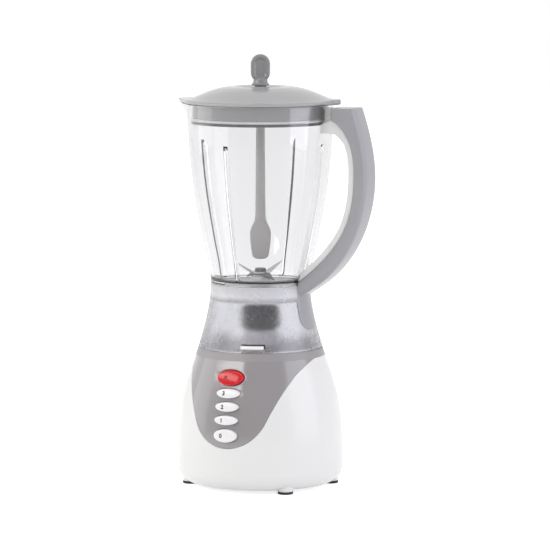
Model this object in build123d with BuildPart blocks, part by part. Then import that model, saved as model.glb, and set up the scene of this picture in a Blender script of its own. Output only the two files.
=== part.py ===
"""Countertop blender: a motor base with push buttons, a lift-off jug with its blade unit, a lid and a stirrer.

Millimetres. Z is up from the table through the drive shaft, the buttons face -Y, the handle is at +X
and the spout at -X. Angles are counted about Z from +X towards +Y.
"""
from build123d import *
import os
from math import acos, atan2, cos, radians, sin, sqrt, tan

os.makedirs("parts", exist_ok=True)

# Clearances
seam = 0.15  # between two mouldings fixed to each other
rest_gap = 0.3  # between two assemblies where one stands on the other
slide_gap = 0.4  # round a piece that slides
shaft_gap = 0.05  # round a turning shaft
press_gap = 0.02  # round a pressed shaft

# Base housing
wall = 2.6
foot_height = 3.0
base_round = 20.0
belly_radius = 78.1
belly_height = 36.0
shoulder_radius = 74.3
shoulder_height = 78.0
shoulder_lean = -0.17
deck_radius = 58.4
deck_height = 130.0
deck_lean = -0.3
band_height = 7.0
deck_thickness = 3.0
spigot_depth = 2.5

# Underside
cover_radius = 56.0
cover_lip = 5.0
cover_screw_radius = 1.5
cover_screw_length = 12.0
vent_count = 16
vent_length = 16.0
vent_width = 4.0
foot_radius = 7.2
foot_circle = 66.0
foot_angles = (-45.0, 25.0, 135.0, 205.0)
foot_stem_radius = 2.5
foot_stem_length = 5.0
pad_height = 2.4  # rubber below the boss
pad_round = 0.6
boss_margin = 0.8
screw_post = 2.4  # radius of a post, in radii of its screw
inlet_height = 24.0
inlet_bore = 3.6
inlet_flange = 2.0

# Control panel and buttons
panel_tip = 43.5
panel_round = 38.5
panel_side_angle = 22.5
button_proud = 4.0
button_travel = 3.5
button_round = 1.4
button_flange = 1.0
button_flange_thickness = 1.5
button_stem = 2.5
number_width = 22.8
number_tall = 8.6
off_tall = 12.2
pulse_width = 25.8
pulse_tall = 13.4
off_height = 55.8
off_gap = 3.8  # between the caps of 0 and 1
number_gap = 3.6  # between the caps of 1, 2 and 3
pulse_gap = 2.9  # between the caps of 3 and pulse
spring_wire = 0.4
spring_radius = 3.4
spring_turns = 4

# Switch block
switch_front = 51.0
switch_depth = 12.0
switch_width = 26.0
switch_plate = 2.0
switch_margin = 2.0
switch_post_x = 21.0
switch_screw = 1.3

# Motor
shaft_radius = 4.0
core_side = 66.0
core_height = 30.0
upper_leg = 14.0
lower_leg = 26.0
post_height = 15.0
armature_radius = 20.3
air_gap = 0.7
coil_overhang = 9.0
bolt_radius = 2.0
bolt_offset = 26.5
bracket_thickness = 3.0
bearing_radius = 11.0
bearing_height = 7.0
commutator_radius = 11.0
commutator_height = 12.0
brush_width = 6.0
brush_height = 5.0
fan_radius = 33.0
core_corner = 7.0
slot_count = 12
slot_depth = 7.0
slot_width = 2.4
coil_thickness = 6.4
coil_room = 9.0  # width of the stator window round a coil
pole_turn = 57.5  # from the middle of a coil to each of its sides
coil_side_turn = 9.0  # half the turn that a coil side fills
bolt_head = 1.9  # radius of a bolt head, in radii of the bolt
fan_height = 11.0
fan_vanes = 11
bush_height = 5.0
bush_radius = 6.0

# Drive between base and jug
tower_radius = 15.8
tower_height = 16.0
coupling_radius = 18.3
coupling_height = 14.0
coupling_lift = 2.0
lobe_count = 6
lobe_circle = 9.5
lobe_radius = 3.6
coupling_play = 0.5
dog_depth = 8.0
driven_radius = 11.7
driven_height = 10.0
hub_gap = 0.5  # between the two couplings
boss_gap = 1.5  # between the driven coupling and the carrier

# Jug
waist_radius = 46.6
collar_height = 60.0
jug_height = 168.4
jug_wall = 2.6
jug_floor = 3.0
floor_hole = 34.0
low_radius = 53.5
low_height = 40.0
low_lean = 0.2
mid_radius = 63.5
mid_height = 96.0
mid_lean = 0.13
rim_radius = 68.5
rim_lean = 0.03
rib_angle = -95.0
rib_depth = 5.0
rib_thickness = 2.0
rib_height = 132.0
spout_reach = 83.0
spout_height = 27.4
spout_nose = 6.0
spout_root_angle = 35.0
spout_root_sink = 0.4
spout_middle_drop = 5.5  # how much less the spout reaches at half its height

# Collar
lug_angle = -74.0
lug_width = 20.0
lug_height = 8.0
lug_thickness = 3.0
lug_circle = 50.0
key_thickness = 2.0
gasket_thickness = 1.2
plate_thickness = 3.6
carrier_radius = 38.5
bayonet_reach = 4.0
bayonet_height = 3.2
bayonet_width = 22.0
ledge_thickness = 3.0

# Handle
handle_width = 29.0
handle_thickness = 12.0
handle_wall = 2.6
handle_reach = 112.0
strip_thickness = 6.0
strip_width = 23.0
handle_top_drop = 2.0
bow_drop = 62.4
handle_round = 5.0
handle_screw_radius = 1.2
screw_back = 27.0
tail_width = 31.0
tail_length = 41.0
tail_depth = 1.5
bracket_width = 20.0
bracket_drop = 27.0

# Blade unit
blade_shaft_radius = 4.0
bush_wall = 2.5
boss_radius = 9.0
boss_rise = 6.5
blade_thickness = 1.5
blade_width = 13.0
blade_hub = 8.5
blade_radius = 24.0
upper_rise = 9.0
lower_drop = 5.0
blade_turn = -40.0
nut_size = 10.0
nut_height = 3.0
washer_height = 1.4

# Lid
lid_radius = 71.0
lid_edge = 2.8
lid_wall = 2.5
lid_rise = 10.5
plateau_radius = 33.0
lid_spout_reach = 84.5
lid_tab_reach = 81.0
lid_tab_width = 22.0
skirt_radius = 63.5
skirt_depth = 15.5
seal_height = 3.5

# Stirrer
stirrer_turn = 25.0
ball_radius = 6.8
socket_radius = 9.0
socket_rise = 2.7
socket_bore = 5.2
sleeve_radius = 8.0
rod_radius = 3.75
rod_swell = 4.9
swell_drop = 125.0
shoulder_drop = 127.0
paddle_drop = 158.0
paddle_width = 19.4
paddle_toe = 14.0
paddle_thickness = 3.2
knob_width = 17.9
knob_height = 26.0
knob_thickness = 7.0
knob_lift = 5.6
knob_foot = 7.6
knob_foot_height = 2.2
knob_sink = 0.4  # how far the knob reaches into its foot
knob_rim = 3.5
knob_recess = 1.0
rod_grip = 6.0  # length of rod inside the knob

# Heights that the sizes above set
waist_height = deck_height + collar_height
rim_height = waist_height + jug_height
band_bottom = deck_height - band_height
shell_inner_bottom = foot_height + wall
one_height = off_height + (off_tall + number_tall) / 2 + off_gap
two_height = one_height + number_tall + number_gap
three_height = two_height + number_tall + number_gap
pulse_height = three_height + (number_tall + pulse_tall) / 2 + pulse_gap

# Walls as stations of height, radius and lean (radius gained per millimetre of height)
base_wall = [
    (belly_height, belly_radius, 0.0),
    (shoulder_height, shoulder_radius, shoulder_lean),
    (deck_height, deck_radius, deck_lean),
]
collar_wall = [
    (deck_height, deck_radius, deck_lean),
    (waist_height, waist_radius, 0.0),
]
jug_side = [
    (waist_height, waist_radius, 0.0),
    (waist_height + low_height, low_radius, low_lean),
    (waist_height + mid_height, mid_radius, mid_lean),
    (rim_height, rim_radius, rim_lean),
]
standing = (Align.CENTER, Align.CENTER, Align.MIN)


def wall_at(stations, height):
    """Radius and lean of a wall at a height: one cubic between each two stations."""
    pairs = list(zip(stations, stations[1:]))
    for (z0, r0, m0), (z1, r1, m1) in pairs:
        if height <= z1 or (z1, r1, m1) == stations[-1]:
            break
    span = z1 - z0
    t = (height - z0) / span
    radius = (
        r0 * (1 + 2 * t) * (1 - t) ** 2
        + m0 * span * t * (1 - t) ** 2
        + r1 * t * t * (3 - 2 * t)
        - m1 * span * t * t * (1 - t)
    )
    lean = (
        6 * t * (1 - t) * (r1 - r0) / span
        + m0 * (1 - t) * (1 - 3 * t)
        + m1 * t * (3 * t - 2)
    )
    return radius, lean


def wall_edges(stations, low, high, inset):
    """The wall's line from low to high, moved inwards: one Bezier curve between each two stations."""
    heights = [low] + [z for z, _, _ in stations if low < z < high] + [high]
    for z0, z1 in zip(heights, heights[1:]):
        (r0, m0), (r1, m1) = wall_at(stations, z0), wall_at(stations, z1)
        third = (z1 - z0) / 3
        Bezier(
            (r0 - inset, z0),
            (r0 - inset + m0 * third, z0 + third),
            (r1 - inset - m1 * third, z1 - third),
            (r1 - inset, z1),
        )


def wall_section(stations, low, high, outer, inner):
    """Half section of a wall between two insets; an inner inset of None fills it to the axis."""
    with BuildSketch(Plane.XZ) as section:
        with BuildLine():
            wall_edges(stations, low, high, outer)
            low_out = wall_at(stations, low)[0] - outer
            high_out = wall_at(stations, high)[0] - outer
            if inner is None:
                Polyline((high_out, high), (0, high), (0, low), (low_out, low))
            else:
                wall_edges(stations, low, high, inner)
                Line((low_out, low), (wall_at(stations, low)[0] - inner, low))
                Line((high_out, high), (wall_at(stations, high)[0] - inner, high))
        make_face()
    return section.sketch


def upright(turn, height=0.0):
    """A plane on the Z axis whose x lies at a turn about Z and whose y points up."""
    across = (cos(radians(turn)), sin(radians(turn)), 0)
    return Plane(origin=(0, 0, height), x_dir=across, z_dir=(across[1], -across[0], 0))


def save(piece, name):
    piece.part.label = name
    export_step(piece.part, f"parts/{name}.step")


# ---------------------------------------------------------------- base housing
def panel_outline(gap):
    """The shield-shaped panel seen from the front: a round tip with straight sides that spread upwards."""
    lean = radians(panel_side_angle)
    reach = panel_round - gap
    centre = panel_tip + panel_round
    side = (reach * cos(lean), centre - reach * sin(lean))
    top = (side[0] + (band_bottom - side[1]) * tan(lean), band_bottom)
    with BuildSketch(Plane.XZ) as outline:
        with BuildLine():
            ThreePointArc((-side[0], side[1]), (0, centre - reach), side)
            Polyline(side, top, (-top[0], top[1]), (-side[0], side[1]))
        make_face()
    return outline.sketch


def round_bottom(inset):
    """Half section of the base's round underside, filled to the axis."""
    centre = (belly_radius - base_round, foot_height + base_round)
    reach = base_round - inset
    with BuildSketch(Plane.XZ) as section:
        with BuildLine():
            Line((0, centre[1] - reach), (centre[0], centre[1] - reach))
            RadiusArc(
                (centre[0], centre[1] - reach), (centre[0] + reach, centre[1]), -reach
            )
            Polyline(
                (centre[0] + reach, centre[1]),
                (belly_radius - inset, belly_height),
                (0, belly_height),
                (0, centre[1] - reach),
            )
        make_face()
    return section.sketch


seat_radius = cover_radius - cover_lip / 2 - 1
with BuildPart() as base_shell:
    revolve(round_bottom(0), axis=Axis.Z)
    revolve(wall_section(base_wall, belly_height, band_bottom, 0, None), axis=Axis.Z)
    revolve(round_bottom(wall), axis=Axis.Z, mode=Mode.SUBTRACT)
    revolve(
        wall_section(base_wall, belly_height, band_bottom, wall, None),
        axis=Axis.Z,
        mode=Mode.SUBTRACT,
    )
    # inward lip that the bottom cover seats against, with its screw posts
    with BuildSketch(Plane.XY.offset(shell_inner_bottom)):
        Circle(cover_radius + 1)
        Circle(cover_radius - cover_lip, mode=Mode.SUBTRACT)
    extrude(amount=wall)
    with PolarLocations(seat_radius, 4):
        with Locations((0, 0, shell_inner_bottom)):
            Cylinder(screw_post * cover_screw_radius, cover_screw_length, align=standing)
    with PolarLocations(seat_radius, 4):
        with Locations((0, 0, foot_height)):
            Cylinder(
                cover_screw_radius + press_gap,
                cover_screw_length + wall - 1,
                align=standing,
                mode=Mode.SUBTRACT,
            )
    with BuildSketch(Plane.XY):
        Circle(cover_radius)
    extrude(amount=shell_inner_bottom, mode=Mode.SUBTRACT)
    # foot bosses
    for angle in foot_angles:
        with PolarLocations(foot_circle, 1, start_angle=angle):
            with Locations((0, 0, pad_height)):
                Cylinder(foot_radius + boss_margin, foot_stem_length + wall, align=standing)
                Cylinder(
                    foot_stem_radius + press_gap,
                    foot_stem_length + seam,
                    align=standing,
                    mode=Mode.SUBTRACT,
                )
    # window of the control panel, and the hole of the cord inlet
    extrude(panel_outline(0), amount=belly_radius + 10, mode=Mode.SUBTRACT)
    with BuildSketch(Plane.XZ.offset(-belly_radius - 5)):
        with Locations((0, inlet_height)):
            Circle(inlet_bore + wall + seam)
    extrude(amount=20, mode=Mode.SUBTRACT)
save(base_shell, "base_shell")

with BuildPart() as bottom_cover:
    with BuildSketch(Plane.XY.offset(foot_height)):
        Circle(cover_radius - seam)
        with PolarLocations(cover_radius / 2, vent_count):
            SlotOverall(vent_length, vent_width, mode=Mode.SUBTRACT)
    extrude(amount=wall - seam)
    with PolarLocations(seat_radius, 4):
        with Locations((0, 0, foot_height)):
            Cylinder(cover_screw_radius + seam, wall, align=standing, mode=Mode.SUBTRACT)
            Cylinder(
                2 * cover_screw_radius + seam, wall / 2, align=standing, mode=Mode.SUBTRACT
            )
save(bottom_cover, "bottom_cover")

with BuildPart() as cover_screws:
    with PolarLocations(seat_radius, 4):
        with Locations((0, 0, foot_height)):
            Cylinder(2 * cover_screw_radius, wall / 2, align=standing)
            Cylinder(cover_screw_radius, cover_screw_length, align=standing)
save(cover_screws, "cover_screws")

with BuildPart() as rubber_feet:
    for angle in foot_angles:
        with PolarLocations(foot_circle, 1, start_angle=angle):
            Cylinder(foot_radius, pad_height, align=standing)
            with Locations((0, 0, pad_height)):
                Cylinder(foot_stem_radius, foot_stem_length, align=standing)
    fillet(rubber_feet.faces().sort_by(Axis.Z)[:4].edges(), pad_round)
save(rubber_feet, "rubber_feet")

with BuildPart() as cord_inlet:
    with BuildSketch(Plane.XZ.offset(-belly_radius - inlet_flange)):
        with Locations((0, inlet_height)):
            Circle(inlet_bore + 2 * wall)
    extrude(amount=inlet_flange - seam)
    with BuildSketch(Plane.XZ.offset(-belly_radius - inlet_flange)):
        with Locations((0, inlet_height)):
            Circle(inlet_bore + wall)
    extrude(amount=inlet_flange + 3 * wall)
    with BuildSketch(Plane.XZ.offset(-belly_radius - inlet_flange)):
        with Locations((0, inlet_height)):
            Circle(inlet_bore)
    extrude(amount=inlet_flange + 3 * wall, mode=Mode.SUBTRACT)
save(cord_inlet, "cord_inlet")

# ---------------------------------------------------------------- control panel, buttons and switch
buttons = {
    "button_0": (off_height, number_width, off_tall),
    "button_1": (one_height, number_width, number_tall),
    "button_2": (two_height, number_width, number_tall),
    "button_3": (three_height, number_width, number_tall),
    "pulse_button": (pulse_height, pulse_width, pulse_tall),
}
switch_bottom = off_height - off_tall / 2 - switch_margin
switch_top = pulse_height + 2 * switch_margin
switch_posts = [
    (side * switch_post_x, height)
    for side in (-1, 1)
    for height in ((off_height + one_height) / 2, (two_height + three_height) / 2)
]

with BuildPart() as control_panel:
    revolve(wall_section(base_wall, belly_height, band_bottom, 0, wall), axis=Axis.Z)
    extrude(panel_outline(seam), amount=belly_radius + 10, mode=Mode.INTERSECT)
    with BuildSketch(Plane.XZ):
        for height, width, tall in buttons.values():
            with Locations((0, height)):
                Ellipse(width / 2 + slide_gap, tall / 2 + slide_gap)
    extrude(amount=belly_radius + 10, mode=Mode.SUBTRACT)
    # posts that carry the switch block
    for across, height in switch_posts:
        reach = sqrt(wall_at(base_wall, height)[0] ** 2 - across**2) - wall / 2
        with BuildSketch(Plane.XZ.offset(switch_front)):
            with Locations((across, height)):
                Circle(screw_post * switch_screw)
        extrude(amount=reach - switch_front)
        with BuildSketch(Plane.XZ.offset(switch_front)):
            with Locations((across, height)):
                Circle(switch_screw + press_gap)
        extrude(amount=7, mode=Mode.SUBTRACT)
save(control_panel, "control_panel")


def flange_front(height, width, tall):
    """Distance from the axis to a button's flange, which lies just behind the panel's inner face."""
    top = height + tall / 2
    inner = wall_at(base_wall, top)[0] - wall
    return sqrt(inner**2 - (width / 2 + button_flange) ** 2) - rest_gap


def make_button(height, width, tall):
    flange = flange_front(height, width, tall)
    low, high = height - tall, min(height + tall, deck_height)
    with BuildPart() as button:
        revolve(wall_section(base_wall, low, high, -button_proud, None), axis=Axis.Z)
        with BuildSketch(Plane.XZ.offset(flange - button_flange_thickness)):
            with Locations((0, height)):
                Ellipse(width / 2, tall / 2)
        extrude(amount=belly_radius, mode=Mode.INTERSECT)
        fillet(button.faces().sort_by(Axis.Y)[0].edges(), button_round)
        with BuildSketch(Plane.XZ.offset(flange)):
            with Locations((0, height)):
                Ellipse(width / 2 + button_flange, tall / 2 - seam)
        extrude(amount=-button_flange_thickness)
        with BuildSketch(Plane.XZ.offset(flange - button_flange_thickness)):
            with Locations((0, height)):
                Circle(button_stem)
        extrude(amount=-(flange - button_flange_thickness - switch_front + stem_depth))
    return button


def make_spring(height, width, tall):
    """Return spring round a button's stem, from its flange into the switch block's pocket."""
    front = flange_front(height, width, tall) - button_flange_thickness - spring_wire
    length = front - switch_front + 1
    with BuildPart() as spring:
        with BuildLine() as coil:
            Helix(
                length / spring_turns,
                length,
                spring_radius,
                center=(0, -front, height),
                direction=(0, 1, 0),
            )
        with BuildSketch(Plane(origin=coil.line @ 0, z_dir=coil.line % 0)):
            Circle(spring_wire)
        sweep(is_frenet=True)
    return spring


stem_depth = 6.0
pocket_depth = button_travel + 2 * rest_gap + 1 + spring_wire
pocket_radius = spring_radius + spring_wire + slide_gap
for name, size in buttons.items():
    save(make_button(*size), name)
    save(make_spring(*size), name.replace("button", "spring"))

with BuildPart() as switch_block:
    with BuildSketch(Plane.XZ.offset(switch_front)):
        with Locations((0, (switch_bottom + switch_top) / 2)):
            Rectangle(switch_width, switch_top - switch_bottom)
    extrude(amount=-switch_depth)
    fillet(switch_block.edges().filter_by(Axis.Y), 2)
    post_rows = sorted({height for _, height in switch_posts})
    with BuildSketch(Plane.XZ.offset(switch_front - seam)):
        for height in post_rows:
            with Locations((0, height)):
                SlotOverall(2 * switch_post_x + 10, 9)
        with Locations(*switch_posts):
            Circle(switch_screw + seam, mode=Mode.SUBTRACT)
    extrude(amount=-switch_plate)
    with BuildSketch(Plane.XZ.offset(switch_front)):
        for height, _, _ in buttons.values():
            with Locations((0, height)):
                Circle(pocket_radius)
    extrude(amount=-pocket_depth, mode=Mode.SUBTRACT)
    with BuildSketch(Plane.XZ.offset(switch_front)):
        for height, _, _ in buttons.values():
            with Locations((0, height)):
                Circle(button_stem + slide_gap)
    extrude(amount=-(stem_depth + button_travel + rest_gap), mode=Mode.SUBTRACT)
save(switch_block, "switch_block")

with BuildPart() as switch_screws:
    with BuildSketch(Plane.XZ.offset(switch_front - seam - switch_plate)):
        with Locations(*switch_posts):
            Circle(switch_screw)
    extrude(amount=switch_plate + seam + 6)
    with BuildSketch(Plane.XZ.offset(switch_front - seam - switch_plate)):
        with Locations(*switch_posts):
            Circle(2 * switch_screw)
    extrude(amount=-1.5)
save(switch_screws, "switch_screws")

with BuildPart() as switch_terminals:
    with BuildSketch(Plane.XZ.offset(switch_front - switch_depth)):
        for height, _, _ in buttons.values():
            with Locations((0, height)):
                Rectangle(6.3, 0.8)
    extrude(amount=-5)
save(switch_terminals, "switch_terminals")

# ---------------------------------------------------------------- top deck and motor
post_bottom = deck_height - deck_thickness - post_height
bracket_top = post_bottom - bush_height
core_top = bracket_top - bracket_thickness - upper_leg
core_bottom = core_top - core_height
lower_bracket_top = core_bottom - lower_leg
lower_bracket_bottom = lower_bracket_top - bracket_thickness
cup_depth = bearing_height + 1
fan_top = lower_bracket_top - cup_depth - 2
tower_top = deck_height + tower_height
coupling_bottom = tower_top + coupling_lift
coupling_top = coupling_bottom + coupling_height
shaft_top = coupling_top - dog_depth - 1
bolt_points = [(x, y) for x in (-bolt_offset, bolt_offset) for y in (-bolt_offset, bolt_offset)]
seal_radius = tower_radius - 2 * wall
seal_depth = 5.0

with BuildPart() as top_deck:
    revolve(wall_section(base_wall, band_bottom, deck_height, 0, wall), axis=Axis.Z)
    revolve(
        wall_section(base_wall, deck_height - deck_thickness, deck_height, 0, None), axis=Axis.Z
    )
    revolve(
        wall_section(base_wall, band_bottom - spigot_depth, band_bottom, wall + seam, 2 * wall),
        axis=Axis.Z,
    )
    revolve(
        wall_section(base_wall, band_bottom, band_bottom + wall, wall / 2, 2 * wall), axis=Axis.Z
    )
    with Locations((0, 0, deck_height)):
        Cylinder(tower_radius, tower_height, align=standing)
    with PolarLocations(lug_circle, 3, start_angle=lug_angle):
        with Locations((0, 0, deck_height)):
            Box(lug_thickness, lug_width, lug_height, align=standing)
    with BuildSketch(Plane.XY.offset(post_bottom)):
        with Locations(*bolt_points):
            Circle(2.5 * bolt_radius)
    extrude(amount=post_height)
    with BuildSketch(Plane.XY.offset(post_bottom)):
        with Locations(*bolt_points):
            Circle(bolt_radius + press_gap)
    extrude(amount=post_height - 2, mode=Mode.SUBTRACT)
    with BuildSketch(Plane.XY.offset(deck_height - deck_thickness)):
        Circle(1.6 * shaft_radius)
    extrude(amount=deck_thickness + tower_height, mode=Mode.SUBTRACT)
    with BuildSketch(Plane.XY.offset(tower_top)):
        Circle(seal_radius)
    extrude(amount=-seal_depth, mode=Mode.SUBTRACT)
    fillet(top_deck.edges().filter_by(GeomType.CIRCLE).filter_by_position(
        Axis.Z, tower_top - 0.1, tower_top + 0.1
    ).sort_by(SortBy.RADIUS)[-1], 1.5)
save(top_deck, "top_deck")

with BuildPart() as spill_seal:
    with Locations((0, 0, tower_top - seal_depth)):
        Cylinder(seal_radius - press_gap, seal_depth, align=standing)
        Cylinder(shaft_radius + slide_gap, seal_depth, align=standing, mode=Mode.SUBTRACT)
save(spill_seal, "spill_seal")

with BuildPart() as stator_core:
    with BuildSketch(Plane.XY.offset(core_bottom)):
        RectangleRounded(core_side, core_side, core_corner)
        Circle(armature_radius + air_gap, mode=Mode.SUBTRACT)
        with Locations(*bolt_points):
            Circle(bolt_radius + seam, mode=Mode.SUBTRACT)
    extrude(amount=core_height)
    coil_middle = armature_radius + air_gap + coil_room / 2
    window_turn = coil_side_turn + 2
    for window in (pole_turn, 180 - pole_turn, 180 + pole_turn, 360 - pole_turn):
        window_arc = CenterArc((0, 0), coil_middle, window - window_turn, 2 * window_turn)
        with BuildSketch(Plane.XY.offset(core_bottom)):
            add(SlotArc(window_arc, coil_room, mode=Mode.PRIVATE))
        extrude(amount=core_height, mode=Mode.SUBTRACT)
save(stator_core, "stator_core")

with BuildPart() as field_coils:
    for side in (0, 180):
        end_turn = pole_turn + coil_side_turn + 1
        turn_arc = CenterArc((0, 0), coil_middle, side - end_turn, 2 * end_turn)
        for bottom in (core_bottom - coil_overhang, core_top):
            with BuildSketch(Plane.XY.offset(bottom)):
                add(SlotArc(turn_arc, coil_thickness, mode=Mode.PRIVATE))
            extrude(amount=coil_overhang)
        for leg in (side - pole_turn, side + pole_turn):
            leg_arc = CenterArc((0, 0), coil_middle, leg - coil_side_turn, 2 * coil_side_turn)
            with BuildSketch(Plane.XY.offset(core_bottom)):
                add(SlotArc(leg_arc, coil_thickness, mode=Mode.PRIVATE))
            extrude(amount=core_height)
save(field_coils, "field_coils")


def make_bracket(plate_bottom, cup_bottom, leg_bottom, leg_top):
    """Bearing bracket: a square plate with a bearing cup, air holes and four tubular legs."""
    with BuildPart() as bracket:
        with BuildSketch(Plane.XY.offset(plate_bottom)):
            RectangleRounded(core_side, core_side, core_corner)
        extrude(amount=bracket_thickness)
        with BuildSketch(Plane.XY.offset(cup_bottom)):
            Circle(bearing_radius + bracket_thickness)
        extrude(amount=cup_depth)
        with BuildSketch(Plane.XY.offset(leg_bottom)):
            with Locations(*bolt_points):
                Circle(bolt_radius + bracket_thickness - 0.5)
        extrude(amount=leg_top - leg_bottom)
        with BuildSketch(Plane.XY.offset(cup_bottom)):
            Circle(bearing_radius + press_gap)
        extrude(amount=cup_depth, mode=Mode.SUBTRACT)
        with BuildSketch(Plane.XY.offset(leg_bottom - bracket_thickness)):
            with Locations(*bolt_points):
                Circle(bolt_radius + seam)
            with PolarLocations(core_side / 3, 4, start_angle=45):
                Circle(core_side / 11)
        extrude(amount=leg_top - leg_bottom + 2 * bracket_thickness, mode=Mode.SUBTRACT)
    return bracket


upper_cup = bracket_top - cup_depth + 1
lower_cup = lower_bracket_top - cup_depth
upper_bracket = make_bracket(
    bracket_top - bracket_thickness, upper_cup, core_top, bracket_top - bracket_thickness
)
save(upper_bracket, "upper_bracket")
lower_bracket = make_bracket(lower_bracket_bottom, lower_cup, lower_bracket_top, core_bottom)
save(lower_bracket, "lower_bracket")

with BuildPart() as bearings:
    for cup in (upper_cup, lower_cup):
        with Locations((0, 0, cup + 0.5)):
            Cylinder(bearing_radius, bearing_height, align=standing)
            Cylinder(
                shaft_radius + shaft_gap, bearing_height, align=standing, mode=Mode.SUBTRACT
            )
save(bearings, "bearings")

with BuildPart() as motor_bushes:
    with BuildSketch(Plane.XY.offset(bracket_top)):
        with Locations(*bolt_points):
            Circle(bush_radius)
            Circle(bolt_radius + seam, mode=Mode.SUBTRACT)
    extrude(amount=bush_height)
save(motor_bushes, "motor_bushes")

with BuildPart() as motor_bolts:
    with BuildSketch(Plane.XY.offset(lower_bracket_bottom)):
        with Locations(*bolt_points):
            Circle(bolt_radius)
    extrude(amount=post_bottom + post_height - 4 - lower_bracket_bottom)
    with BuildSketch(Plane.XY.offset(lower_bracket_bottom)):
        with Locations(*bolt_points):
            RegularPolygon(bolt_head * bolt_radius, 6)
    extrude(amount=-bracket_thickness)
save(motor_bolts, "motor_bolts")

with BuildPart() as motor_shaft:
    with Locations((0, 0, fan_top - fan_height - 1)):
        Cylinder(shaft_radius, shaft_top - fan_top + fan_height + 1, align=standing)
    chamfer(motor_shaft.faces().sort_by(Axis.Z)[0].edges(), 0.5)
save(motor_shaft, "motor_shaft")

slot_inner = armature_radius - slot_depth
with BuildPart() as armature_core:
    with BuildSketch(Plane.XY.offset(core_bottom)):
        Circle(armature_radius)
        Circle(shaft_radius + press_gap, mode=Mode.SUBTRACT)
        with PolarLocations((slot_inner + armature_radius) / 2, slot_count):
            Rectangle(slot_depth + 0.2, slot_width, mode=Mode.SUBTRACT)
    extrude(amount=core_height)
save(armature_core, "armature_core")

with BuildPart() as armature_windings:
    for bottom in (core_bottom - coil_overhang, core_top):
        with BuildSketch(Plane.XY.offset(bottom)):
            Circle(armature_radius - 2)
            Circle(1.5 * shaft_radius, mode=Mode.SUBTRACT)
        extrude(amount=coil_overhang)
    fillet(armature_windings.edges().filter_by(GeomType.CIRCLE).group_by(Axis.Z)[0], 2)
    fillet(armature_windings.edges().filter_by(GeomType.CIRCLE).group_by(Axis.Z)[-1], 2)
    with BuildSketch(Plane.XY.offset(core_bottom)):
        with PolarLocations((slot_inner + armature_radius) / 2 - 0.5, slot_count):
            Rectangle(slot_depth - 2, slot_width - 2 * seam)
    extrude(amount=core_height)
save(armature_windings, "armature_windings")

commutator_top = core_bottom - coil_overhang - 1
with BuildPart() as commutator:
    with BuildSketch(Plane.XY.offset(commutator_top)):
        Circle(commutator_radius)
        Circle(shaft_radius + press_gap, mode=Mode.SUBTRACT)
        with PolarLocations(commutator_radius, 24, start_angle=7.5):
            Rectangle(2, 0.6, mode=Mode.SUBTRACT)
    extrude(amount=-commutator_height)
save(commutator, "commutator")

brush_level = commutator_top - commutator_height / 2
brush_inner = commutator_radius + rest_gap
holder_inner = commutator_radius + 2.5
holder_outer = core_side / 2
with BuildPart() as brush_holders:
    with PolarLocations((holder_inner + holder_outer) / 2, 2):
        with Locations((0, 0, brush_level)):
            Box(holder_outer - holder_inner, brush_width + 2, brush_height + 2)
            Box(
                holder_outer - holder_inner,
                brush_width + 2 * press_gap,
                brush_height + 2 * press_gap,
                mode=Mode.SUBTRACT,
            )
        with Locations((0, 0, lower_bracket_top)):
            Box(10, 8, brush_level - lower_bracket_top - brush_height / 2 - 1, align=standing)
save(brush_holders, "brush_holders")

with BuildPart() as carbon_brushes:
    with PolarLocations((brush_inner + holder_outer - 4) / 2, 2):
        with Locations((0, 0, brush_level)):
            Box(holder_outer - 4 - brush_inner, brush_width, brush_height)
save(carbon_brushes, "carbon_brushes")

with BuildPart() as cooling_fan:
    with Locations((0, 0, fan_top - fan_height)):
        Cylinder(fan_radius, 1.5, align=standing)
        Cylinder(2 * shaft_radius, fan_height, align=standing)
    with PolarLocations((fan_radius + 2 * shaft_radius) / 2 + 2, fan_vanes):
        with Locations((0, 0, fan_top - fan_height)):
            Box(fan_radius - 2 * shaft_radius - 4, 1.5, fan_height, align=standing)
    with Locations((0, 0, fan_top - fan_height)):
        Cylinder(shaft_radius + press_gap, fan_height, align=standing, mode=Mode.SUBTRACT)
save(cooling_fan, "cooling_fan")


def lobes(height, play):
    """Cross-section of the drive at a height: a round hub with lobes, grown by the play all round."""
    with BuildSketch(Plane.XY.offset(height)) as drive:
        Circle(lobe_circle + play)
        with PolarLocations(lobe_circle + 1, lobe_count):
            Circle(lobe_radius + play)
    return drive.sketch


with BuildPart() as drive_coupling:
    with Locations((0, 0, coupling_bottom)):
        Cylinder(coupling_radius, coupling_height, align=standing)
        Cylinder(
            shaft_radius + press_gap,
            shaft_top - coupling_bottom,
            align=standing,
            mode=Mode.SUBTRACT,
        )
    extrude(lobes(coupling_top, coupling_play), amount=-dog_depth, mode=Mode.SUBTRACT)
    fillet(drive_coupling.faces().sort_by(Axis.Z)[0].edges().sort_by(SortBy.RADIUS)[-1], 2)
save(drive_coupling, "drive_coupling")

# ---------------------------------------------------------------- collar under the jug
collar_bottom = deck_height + rest_gap
plate_top = waist_height - gasket_thickness
plate_bottom = plate_top - plate_thickness
ledge_top = plate_bottom - bayonet_height - 2 * rest_gap
ledge_bottom = ledge_top - ledge_thickness
key_offset = (lug_width + key_thickness) / 2 + slide_gap
bayonet_turn = 60.0


def make_tail(outset, depth, margin):
    """The handle's tail where it lies in the collar's side: a strip with a rounded lower end."""
    low = waist_height - tail_length - margin
    with BuildPart() as tail:
        revolve(wall_section(collar_wall, low, plate_top, -outset, depth), axis=Axis.Z)
        with BuildSketch(Plane.YZ):
            with Locations((0, waist_height)):
                RectangleRounded(
                    tail_width + 2 * margin, 2 * (tail_length + margin), tail_width / 3
                )
        extrude(amount=deck_radius, mode=Mode.INTERSECT)
    return tail


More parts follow.
